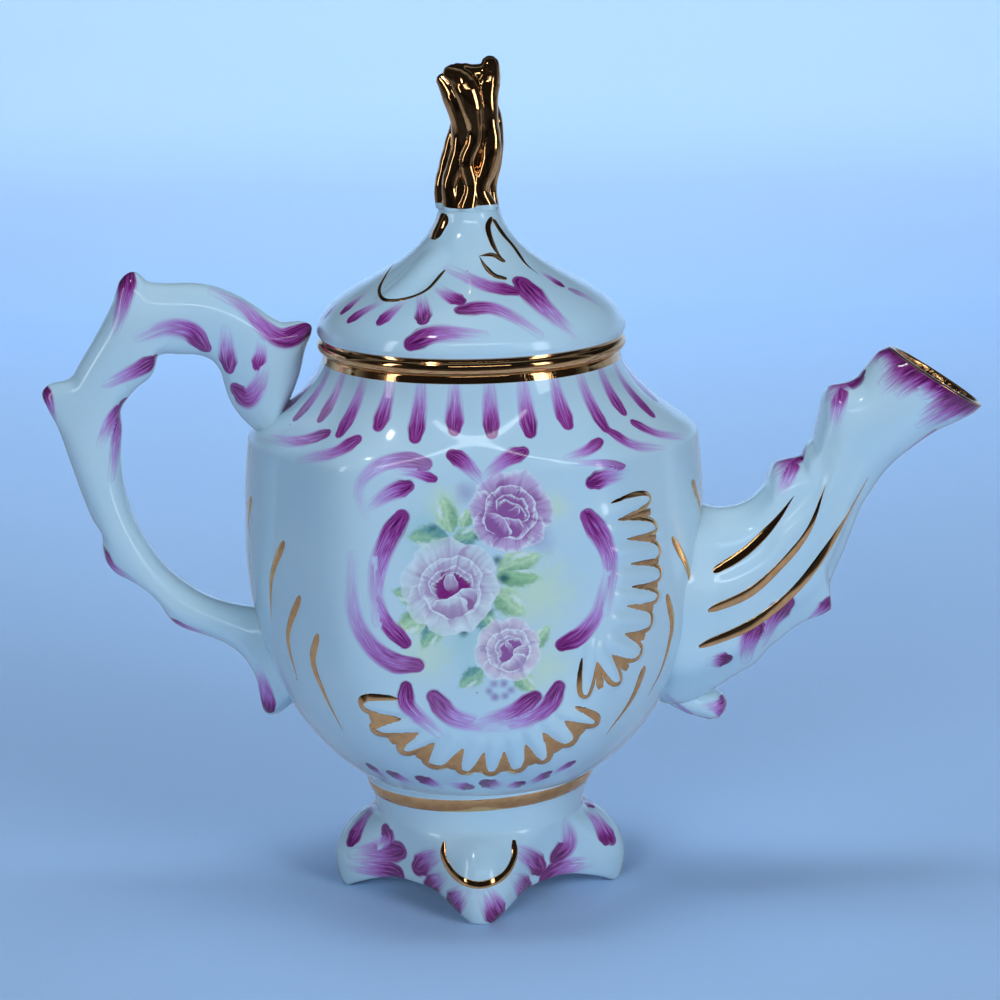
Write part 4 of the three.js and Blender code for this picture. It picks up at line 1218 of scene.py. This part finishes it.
# Scallops of the two gilt frills: cusp, apex, cusp and so on
SIDE_FRILL = [
    (611, 503), (650, 497), (618, 520), (656, 525), (627, 539), (660, 550), (631, 564), (661, 573),
    (632, 587), (658, 597), (627, 606), (652, 620), (625, 634), (640, 655), (612, 655), (618, 684),
    (597, 662), (584, 697), (582, 658)]
LOWER_FRILL = [
    (398, 699), (361, 704), (401, 719), (374, 731), (418, 733), (402, 752), (434, 743), (434, 767),
    (463, 749), (464, 773), (484, 753), (491, 774), (504, 752), (518, 771), (526, 745), (546, 761),
    (543, 733), (571, 744), (565, 721), (597, 723), (575, 707)]
GILT_COMMAS = [
    [(251, 497), (249, 512), (248, 530)], [(284, 541), (272, 575), (271, 621)],
    [(300, 596), (288, 635), (298, 682)], [(318, 634), (313, 660), (325, 695), (343, 731)],
    [(692, 480), (701, 510), (707, 538)], [(672, 537), (688, 570), (691, 600), (683, 635)],
    [(667, 594), (672, 625), (662, 668), (648, 696)], [(645, 666), (632, 698), (606, 735)]]
# Rolled end under the spout: pixels and radius in millimetres
SPOUT_DROP = [(668, 694, 1.2), (690, 700, 1.9), (711, 703, 2.3)]
SPOUT_QUILLS = [
    [(713, 572), (745, 552), (775, 522), (794, 496)],
    [(708, 611), (749, 593), (780, 566), (808, 531), (826, 484)],
    [(699, 647), (752, 624), (794, 591), (830, 544), (868, 478)]]
LID_PETAL = [(398, 257), (385, 276), (379, 291), (383, 299), (398, 300), (425, 291), (445, 270)]
LID_LEAF = [
    [(492, 217), (488, 226), (491, 240), (497, 252), (505, 262)],
    [(493, 219), (503, 234), (514, 247), (526, 264), (538, 274)], [(505, 262), (493, 255), (479, 256)],
    [(507, 279), (494, 275), (485, 266), (479, 256)]]
LID_PETAL_RIDGE = [(428, 262), (412, 278), (394, 294)]
LID_DOT = [(437, 232), (442, 222)]
FOOT_SHELL_RIDGE = [(479, 856), (479, 862), (479, 870)]
FOOT_SHELL = [(444, 842), (444, 858), (458, 878), (480, 885), (503, 876), (514, 858), (514, 840)]

# Brush strokes, head first: half width in millimetres, strength and pixels
BODY_STROKES = [
    (1.4, 1, [(356, 440), (335, 452), (298, 459)]), (1.3, 1, [(326, 434), (297, 441), (264, 437)]),
    (1.0, 1.1, [(600, 441), (588, 450), (566, 458)]), (1.2, 1, [(611, 432), (632, 444), (664, 449)]),
    (1.1, 1, [(634, 423), (656, 433), (686, 437)]), (1.3, 1.2, [(452, 455), (462, 461), (484, 483)]),
    (1.3, 1.2, [(523, 452), (503, 462), (484, 478)]),
    (1.4, 0.85, [(426, 464), (403, 460), (376, 467), (358, 488), (364, 514)]),
    (0.8, 1.1, [(434, 479), (413, 473), (398, 472)]),
    (1.35, 1.15, [(408, 486), (392, 492), (370, 506)]),
    (1.65, 1.1, [(402, 517), (388, 540), (377, 575), (377, 622)]),
    (1.3, 1.1, [(405, 643), (388, 625), (377, 600), (376, 560)]),
    (1.6, 0.95, [(417, 665), (394, 662), (370, 645), (353, 610), (352, 556)]),
    (1.65, 1.1, [(588, 516), (601, 536), (611, 565), (606, 612)]),
    (1.45, 1.1, [(562, 645), (580, 636), (596, 616), (607, 574)]),
    (1.5, 1.25, [(592, 482), (606, 477), (626, 473)]), (0.7, 0.9, [(624, 467), (604, 463), (572, 464)]),
    (1.4, 1.2, [(406, 687), (407, 704), (440, 735)]), (1.7, 0.95, [(434, 697), (452, 717), (505, 728)]),
    (1.5, 1.2, [(535, 697), (513, 712), (476, 722)]),
    (1.5, 1.15, [(559, 687), (549, 706), (524, 721), (486, 728)]), (1.2, 1.3, [(370, 766), (384, 778)]),
    (1.5, 1.4, [(392, 774), (410, 783)]), (1.6, 1.5, [(422, 779), (440, 787)]),
    (1.5, 1.3, [(468, 787), (450, 785)]), (1.6, 1.5, [(486, 783), (502, 788)]),
    (1.4, 1.3, [(520, 784), (506, 788)]), (1.3, 1.4, [(548, 774), (530, 784)]),
    (1.0, 1.3, [(572, 763), (552, 774)])]
HANDLE_STROKES = [
    (1.7, 1.4, [(127, 274), (124, 297), (115, 330)]), (1.2, 1.4, [(44, 390), (50, 408), (58, 430)]),
    (1.7, 1.3, [(308, 328), (284, 338), (262, 325), (240, 304), (213, 291)]),
    (1.7, 1.1, [(204, 347), (190, 332), (168, 328), (138, 338)]),
    (1.6, 1.0, [(228, 367), (227, 350), (226, 330)]), (1.2, 1.0, [(258, 366), (261, 352), (260, 342)]),
    (1.7, 1.15, [(236, 390), (247, 398), (258, 386), (265, 368)]),
    (1.6, 1.3, [(154, 361), (138, 370), (106, 384)]), (1.3, 1.2, [(121, 406), (110, 424), (100, 444)]),
    (1.5, 1.2, [(123, 403), (119, 428), (112, 478)]), (1.2, 1.3, [(103, 548), (112, 566), (134, 581)]),
    (0.9, 1.2, [(170, 619), (186, 627), (210, 635)]), (1.4, 1.3, [(269, 710), (266, 694), (258, 668)])]
SPOUT_STROKES = [
    (2.3, 1.6, [(801, 455), (790, 460), (774, 474)]), (1.5, 1.1, [(792, 462), (788, 476), (780, 492)]),
    (2.3, 1.6, [(859, 376), (842, 385), (826, 398)]), (1.5, 1.1, [(840, 388), (838, 404), (834, 428)]),
    (1.5, 1.6, [(888, 349), (880, 353), (866, 366)]), (1.7, 1.5, [(726, 660), (718, 661), (710, 662)]),
    (2.2, 1.3, [(758, 628), (750, 644), (746, 660)]), (2.4, 1.4, [(786, 606), (774, 622), (764, 642)]),
    (1.8, 1.4, [(834, 598), (824, 610), (806, 622)]),
    (0.7, 1.1, [(727, 702), (716, 717), (700, 718), (682, 708), (665, 694)]),
    (1.2, 1.1, [(727, 697), (720, 706), (704, 706)]), (0.5, 1.0, [(935, 430), (914, 445), (896, 459)])]
LID_STROKES = [
    (0.9, 1.0, [(326, 316), (333, 308), (341, 302)]), (1.1, 1.1, [(344, 311), (354, 302), (366, 293)]),
    (1.2, 1.15, [(351, 319), (364, 311), (381, 302)]), (1.3, 1.2, [(381, 321), (391, 312), (402, 302)]),
    (1.4, 1.25, [(423, 320), (423, 308), (421, 296)]), (1.4, 1.2, [(460, 301), (450, 296), (437, 287)]),
    (1.6, 1.2, [(514, 291), (488, 286), (448, 268)]), (2.4, 1.25, [(523, 283), (541, 304), (574, 335)]),
    (0.9, 1.3, [(561, 285), (552, 279), (541, 272)]),
    (1.5, 1.25, [(461, 310), (490, 308), (515, 318), (540, 334)]),
    (1.7, 1.25, [(411, 343), (432, 334), (484, 335)]), (1.0, 0.7, [(572, 290), (585, 296), (604, 308)])]
FOOT_STROKES = [
    (2.0, 1.2, [(418, 868), (428, 860), (440, 854)]), (2.0, 1.3, [(421, 896), (430, 887), (444, 878)]),
    (2.1, 1.35, [(446, 912), (454, 902), (464, 892)]),
    (2.2, 1.35, [(503, 926), (494, 908), (486, 892)]), (1.9, 1.2, [(540, 868), (530, 858), (516, 850)]),
    (2.1, 1.2, [(534, 896), (524, 888), (514, 880)]), (2.2, 1.2, [(400, 850), (382, 852), (352, 854)]),
    (2.2, 1.25, [(398, 874), (382, 870), (352, 866)]), (1.5, 1.3, [(386, 830), (388, 838), (378, 850)]),
    (1.5, 1.3, [(351, 842), (362, 822), (373, 806), (374, 788)]),
    (2.1, 1.3, [(556, 856), (568, 844), (566, 822)]), (2.2, 1.3, [(546, 878), (562, 870), (590, 864)]),
    (1.3, 1.3, [(606, 840), (596, 822), (584, 810)]), (1.3, 1.2, [(612, 840), (602, 824), (592, 810)]),
    (1.0, 1.2, [(590, 806), (590, 790), (590, 776)])]
# Stripes round the collar, as shares of the way from the mouth to the shoulder, and streaks below the lip,
# as shares of the spout's length
STRIPE_HALF_WIDTH = 1.35
STRIPE_STRENGTH = 1.1
STRIPE_SPAN = (0.02, 0.66)
STRIPE_SCATTER = 0.06
LIP_STREAKS = 30
LIP_HALF_WIDTH = 1.4
LIP_STRENGTH = 1.55
LIP_REACH = 0.095
LIP_SCATTER = 0.035
GILT_STEPS = 40
SHELL_STEPS = 60


def both_sides(tree, strokes, other=BACK):
    """Strokes on the seen side and again on the far side."""
    found = []
    for half_width, strength, pixels in strokes:
        line, _ = laid(tree, pixels)
        found += [(line, half_width, strength), (line * other, half_width, strength)]
    return found


def both_gilt(tree, lines, half_width, widths, other=BACK):
    found = []
    for pixels in lines:
        line, facing = laid(tree, pixels, GILT_STEPS)
        found += [(line, facing, half_width, widths), (line * other, facing * other, half_width, widths)]
    return found


gold = gilding("fired gold")

# Body
body = body_form()
tree = body.tree()
tongue_lines = [laid(tree, line)[0] for line in tongues(SIDE_FRILL) + tongues(LOWER_FRILL)]
body.emboss([(line * side, *TONGUE_RELIEF) for line in tongue_lines for side in (1, BACK)])
tree = body.tree()
strokes = both_sides(tree, BODY_STROKES)
for number in range(COLLAR_STRIPES):
    angle = (number + 0.5) / COLLAR_STRIPES * TURN
    stretch = STRIPE_SCATTER * math.sin(2.7 * number)
    heights = np.linspace(blend(MOUTH_Z, SHOULDER_Z, STRIPE_SPAN[1] + stretch),
                          blend(MOUTH_Z, SHOULDER_Z, STRIPE_SPAN[0]), 16)
    stripe = np.array([around(np.array(angle), body_radius(np.array([angle]), z)[0], z) for z in heights])
    strokes.append((stripe, STRIPE_HALF_WIDTH, STRIPE_STRENGTH))
radii = np.linalg.norm(body.points[:, :2], axis=1)
mouth_band = ease(body.points[:, 2], MOUTH_Z - MOUTH_GILT - 0.2, MOUTH_Z - MOUTH_GILT + 0.2)
mouth_band *= radii > MOUTH_RADIUS - 1
pot_body = body.object("pot_body", porcelain("body porcelain", flower_spray(tree)))
paint(pot_body, body, strokes, mouth_band)
frills = both_gilt(tree, frill_lines(SIDE_FRILL), SIDE_FRILL_GILT, SCALLOP)
frills += both_gilt(tree, frill_teeth(SIDE_FRILL), SIDE_TOOTH_GILT, TOOTH)
frills += both_gilt(tree, frill_lines(LOWER_FRILL), LOWER_FRILL_GILT, SCALLOP)
frills += both_gilt(tree, frill_teeth(LOWER_FRILL), LOWER_TOOTH_GILT, TOOTH)
commas = both_gilt(tree, GILT_COMMAS, COMMA_GILT, COMMA)
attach(pot_body, "pot")
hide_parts("body_shell")
gild("frill_gilding", "pot", frills, gold)
gild("comma_gilding", "pot", commas, gold)

# Foot
foot = foot_form()
tree = foot.tree()
shell_line = laid(tree, FOOT_SHELL_RIDGE)[0]
quarter_turns = [np.array([[math.cos(a), -math.sin(a), 0], [math.sin(a), math.cos(a), 0], [0, 0, 1]])
                 for a in np.arange(4) * TURN / 4]
foot.emboss([(shell_line @ turn.T, *FOOT_SHELL_RELIEF) for turn in quarter_turns])
tree = foot.tree()
strokes = both_sides(tree, FOOT_STROKES)
off_band = np.abs(foot.points[:, 2] - BAND_Z - BAND_TILT * foot.points[:, 0])
band = ease(off_band, BAND_HALF + 0.1, BAND_HALF - 0.15)
band *= np.linalg.norm(foot.points[:, :2], axis=1) > FOOT_WAIST
pot_foot = foot.object("pot_foot", porcelain("foot porcelain"))
paint(pot_foot, foot, strokes, band)
shell, facing = laid(tree, FOOT_SHELL, SHELL_STEPS)
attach(pot_foot, "pot")
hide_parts("pedestal_foot")
shells = [(shell @ turn.T, facing @ turn.T, SHELL_GILT, EVEN) for turn in quarter_turns[::2]]
gild("foot_gilding", "pot", shells, gold)

# Spout
drop_line = [(x, 0, z) for x, z in in_plane([d[:2] for d in SPOUT_DROP])]
drop = rod(drop_line, [d[2] for d in SPOUT_DROP])
drop.points[:, 1] *= DROP_BREADTH
spout = joined(spout_form(), drop)
tree = spout.tree()
strokes = both_sides(tree, SPOUT_STROKES)
outside = SPOUT_SIDES * SPOUT_STATIONS
lip_rings = spout.points[:outside].reshape(SPOUT_STATIONS, SPOUT_SIDES, 3)
for number in range(LIP_STREAKS):
    column = round(number / LIP_STREAKS * SPOUT_SIDES) % SPOUT_SIDES
    reach = round(SPOUT_STATIONS * (LIP_REACH + LIP_SCATTER * math.sin(5.1 * number)))
    strokes.append((lip_rings[::-1, column][:reach:3].copy(), LIP_HALF_WIDTH, LIP_STRENGTH))
lip_gilt = np.zeros(len(spout.points))
lip_gilt[outside:outside + 4 * SPOUT_SIDES] = 1
lip_gilt[outside - SPOUT_SIDES:outside] = 0.5
pot_spout = spout.object("pot_spout", porcelain("spout porcelain"))
paint(pot_spout, spout, strokes, lip_gilt)
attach(pot_spout, "pot")
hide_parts("spout")
gild("spout_gilding", "pot", both_gilt(tree, SPOUT_QUILLS, QUILL_GILT, QUILL), gold)

# Handle
handle = handle_form()
tree = handle.tree()
pot_handle = handle.object("pot_handle", porcelain("handle porcelain"))
paint(pot_handle, handle, both_sides(tree, HANDLE_STROKES))
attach(pot_handle, "pot")
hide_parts("handle")

# Lid
lid = lid_form()
tree = lid.tree()
petal_line = laid(tree, LID_PETAL_RIDGE)[0]
dot_line = laid(tree, LID_DOT)[0]
lid.emboss([(petal_line * side, *LID_PETAL_RELIEF) for side in (1, HALF_TURN)]
           + [(dot_line * side, *LID_DOT_RELIEF) for side in (1, HALF_TURN)])
tree = lid.tree()
strokes = both_sides(tree, LID_STROKES, HALF_TURN)
lid_gilt = ease(lid.points[:, 2], MOUTH_Z + 2 * BEAD_RADIUS + 0.15, MOUTH_Z + 2 * BEAD_RADIUS - 0.1)
lid_gilt *= np.linalg.norm(lid.points[:, :2], axis=1) > LID_RADIUS - BEAD_RADIUS - 0.1
for side in (1, HALF_TURN):
    rows, gap, _, _ = nearest(lid.points, lid.normals(), dot_line * side, 2 * DOT_RADIUS)
    lid_gilt[rows] = np.maximum(lid_gilt[rows], ease(gap, DOT_RADIUS + 0.1, DOT_RADIUS - 0.1))
lid_dome = lid.object("lid_dome", porcelain("lid porcelain"))
paint(lid_dome, lid, strokes, lid_gilt)
lid_lines = both_gilt(tree, [LID_PETAL], PETAL_GILT, EVEN, HALF_TURN)
lid_lines += both_gilt(tree, LID_LEAF, LEAF_GILT, QUILL, HALF_TURN)
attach(lid_dome, "lid")
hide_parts("lid_cover")
gild("lid_gilding", "lid", lid_lines, gold)

# Finial
finial = finial_form()
lid_twig = finial.object("lid_twig", porcelain("finial gilding"))
wave = 0.25 * np.sin(3 * np.arctan2(finial.points[:, 1], finial.points[:, 0]) + 1)
finial_gilt = ease(finial.points[:, 2] + wave, LID_APEX_Z + 0.45, LID_APEX_Z + 0.75)
paint(lid_twig, finial, [], finial_gilt)
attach(lid_twig, "lid")
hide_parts("lid_finial")

# Stage: a pale floor that turns up into a backdrop, in a room that is dark behind the camera
ROOM_DARK = (0.018, 0.019, 0.024, 1)
ROOM_SKY = (0.60, 0.79, 1, 1)
ROOM_STRENGTH = 0.6
FLOOR = (0.55, 0.73, 0.98, 1)
FLOOR_MIRRORED = (0.64, 0.63, 0.70, 1)
FLOOR_ROUGHNESS = 0.55
BACKDROP = (0.60, 0.77, 0.98, 1)
FLOOR_HALF = 2500
WALL_DISTANCE = 512
WALL_HEIGHT = 1800
COVE = 30
COVE_STEPS = 12


def pale_floor():
    """A matt floor and backdrop. Gold and glaze mirror a dim room in front of the pot: for glossy rays the
    floor there is painted dark, a painted shade. The backdrop lets a view from behind it through."""
    material = bpy.data.materials.new("pale floor")
    material.use_nodes = True
    surface = material.node_tree.nodes["Principled BSDF"]
    w = Wires(material.node_tree)
    ray = w.node("ShaderNodeLightPath").outputs
    sideways, inward, height = w.split(w.node("ShaderNodeTexCoord").outputs["Object"])
    # Painted shade: for glossy rays the floor in front of the pot is dark, so gold and glaze reflect
    # darkness there
    mirrored = w.mix(w.soft(inward, -0.14, -0.07), ROOM_DARK, FLOOR_MIRRORED)
    colour = w.mix(ray["Is Glossy Ray"], FLOOR, mirrored)
    colour = w.mix(w.soft(height, 0.0, 0.03), colour, BACKDROP)
    # Painted shade: for rays other than the camera's the upper backdrop is dark, so reflections and bounced
    # light find a dim room overhead
    unseen = w.math("SUBTRACT", 1.0, ray["Is Camera Ray"])
    painted_overhead_shade = w.math("MULTIPLY", w.soft(height, 0.12, 0.32), unseen)
    colour = w.mix(painted_overhead_shade, colour, ROOM_DARK)
    w.join(colour, surface.inputs["Base Color"])
    w.join(colour, surface.inputs["Emission Color"])
    wall_glow = w.soft(height, 0.0, 0.06, 0.0, 0.28)
    away = w.math("MAXIMUM", w.math("ABSOLUTE", sideways), w.math("MULTIPLY", inward, -1.0))
    far_glow = w.math("MULTIPLY", w.soft(away, 0.25, 0.9, 0.0, 0.75), ray["Is Camera Ray"])
    w.join(w.math("ADD", wall_glow, far_glow), surface.inputs["Emission Strength"])
    surface.inputs["Roughness"].default_value = FLOOR_ROUGHNESS
    one_way = w.node("ShaderNodeMixShader", {
        0: w.node("ShaderNodeNewGeometry").outputs["Backfacing"], 1: surface.outputs["BSDF"],
        2: w.node("ShaderNodeBsdfTransparent").outputs["BSDF"]})
    w.join(one_way.outputs["Shader"], material.node_tree.nodes["Material Output"].inputs["Surface"])
    return material


curl = np.linspace(0, TURN / 4, COVE_STEPS)
cove = [(WALL_DISTANCE - COVE + COVE * math.sin(a), COVE - COVE * math.cos(a)) for a in curl]
profile = [(-FLOOR_HALF, 0), *cove, (WALL_DISTANCE, WALL_HEIGHT)]
points = [tuple(row((x, y, z))) for y, z in profile for x in (-FLOOR_HALF, FLOOR_HALF)]
faces = [(2 * i, 2 * i + 1, 2 * i + 3, 2 * i + 2) for i in range(len(profile) - 1)]
mesh = bpy.data.meshes.new("studio_floor")
mesh.from_pydata(points, [], faces)
mesh.shade_smooth()
mesh.materials.append(pale_floor())
studio_floor = bpy.data.objects.new("studio_floor", mesh)
bpy.context.scene.collection.objects.link(studio_floor)

# Light: lamps that light the pot, and windows that only show in its glaze and gold
DAYLIGHT = (0.63, 0.81, 1)
KEY_DAYLIGHT = (0.68, 0.82, 0.98)
GLINT = (0.9, 0.96, 1)
POT_MIDDLE = (0, 0, 55)
WALL_MIDDLE = (0, WALL_DISTANCE, 120)


def soft_box(name, place, size, power, colour, aim=POT_MIDDLE, mirrored=False, spread=math.pi):
    """A soft light that faces the pot, or what else it is aimed at. One that is mirrored lights nothing,
    and only shows in the glaze and the gold."""
    light = bpy.data.lights.new(name, "AREA")
    light.shape = "RECTANGLE" if mirrored else "DISK"
    light.size, light.size_y = np.array(size) * MM
    light.energy = power
    light.spread = spread
    light.color = colour
    made = bpy.data.objects.new(name, light)
    place = row(place)
    made.location = place
    made.rotation_euler = Vector(row(aim) - place).to_track_quat("-Z", "Y").to_euler()
    made.visible_glossy = mirrored
    made.visible_diffuse = not mirrored
    bpy.context.scene.collection.objects.link(made)


soft_box("key light", (400, -480, 300), (300, 300), 1.8, KEY_DAYLIGHT)
soft_box("fill light", (-200, -600, 260), (260, 260), 1.45, KEY_DAYLIGHT)
soft_box("top light", (-40, 60, 720), (420, 420), 1.4, DAYLIGHT)
soft_box("wall light", (0, 100, 1000), (400, 400), 0.9, DAYLIGHT, aim=WALL_MIDDLE, spread=1.2)
soft_box("high window", (60, -560, 480), (520, 36), 0.28, GLINT, mirrored=True)
soft_box("side window", (430, -330, 190), (110, 300), 0.36, GLINT, mirrored=True)
soft_box("left window", (-430, -220, 210), (60, 300), 0.2, GLINT, mirrored=True)
soft_box("small window", (-260, -300, 640), (60, 60), 0.2, GLINT, mirrored=True)

# Room: bright behind the pot, dark behind the camera
world = bpy.data.worlds.new("studio")
bpy.context.scene.world = world
world.use_nodes = True
sky = world.node_tree.nodes["Background"]
sky_wires = Wires(world.node_tree)
_, toward, _ = sky_wires.split(sky_wires.node("ShaderNodeTexCoord").outputs["Generated"])
room = sky_wires.mix(sky_wires.soft(toward, -0.1, 0.6), ROOM_DARK, ROOM_SKY)
seen = sky_wires.node("ShaderNodeLightPath").outputs["Is Camera Ray"]
sky_wires.join(sky_wires.mix(seen, room, ROOM_SKY), sky.inputs["Color"])
sky.inputs["Strength"].default_value = ROOM_STRENGTH

# Camera
camera_data = bpy.data.cameras.new("camera")
camera_data.sensor_width = SENSOR_MM
camera_data.lens = FOCAL / PICTURE_SIDE * SENSOR_MM
camera = bpy.data.objects.new("camera", camera_data)
turned = np.eye(4)
turned[:3, 0], turned[:3, 1], turned[:3, 2], turned[:3, 3] = rightward, upward, -ahead, row(EYE)
camera.matrix_world = Matrix(turned.tolist())
bpy.context.scene.collection.objects.link(camera)
bpy.context.scene.camera = camera
bpy.context.scene.view_settings.view_transform = "Standard"
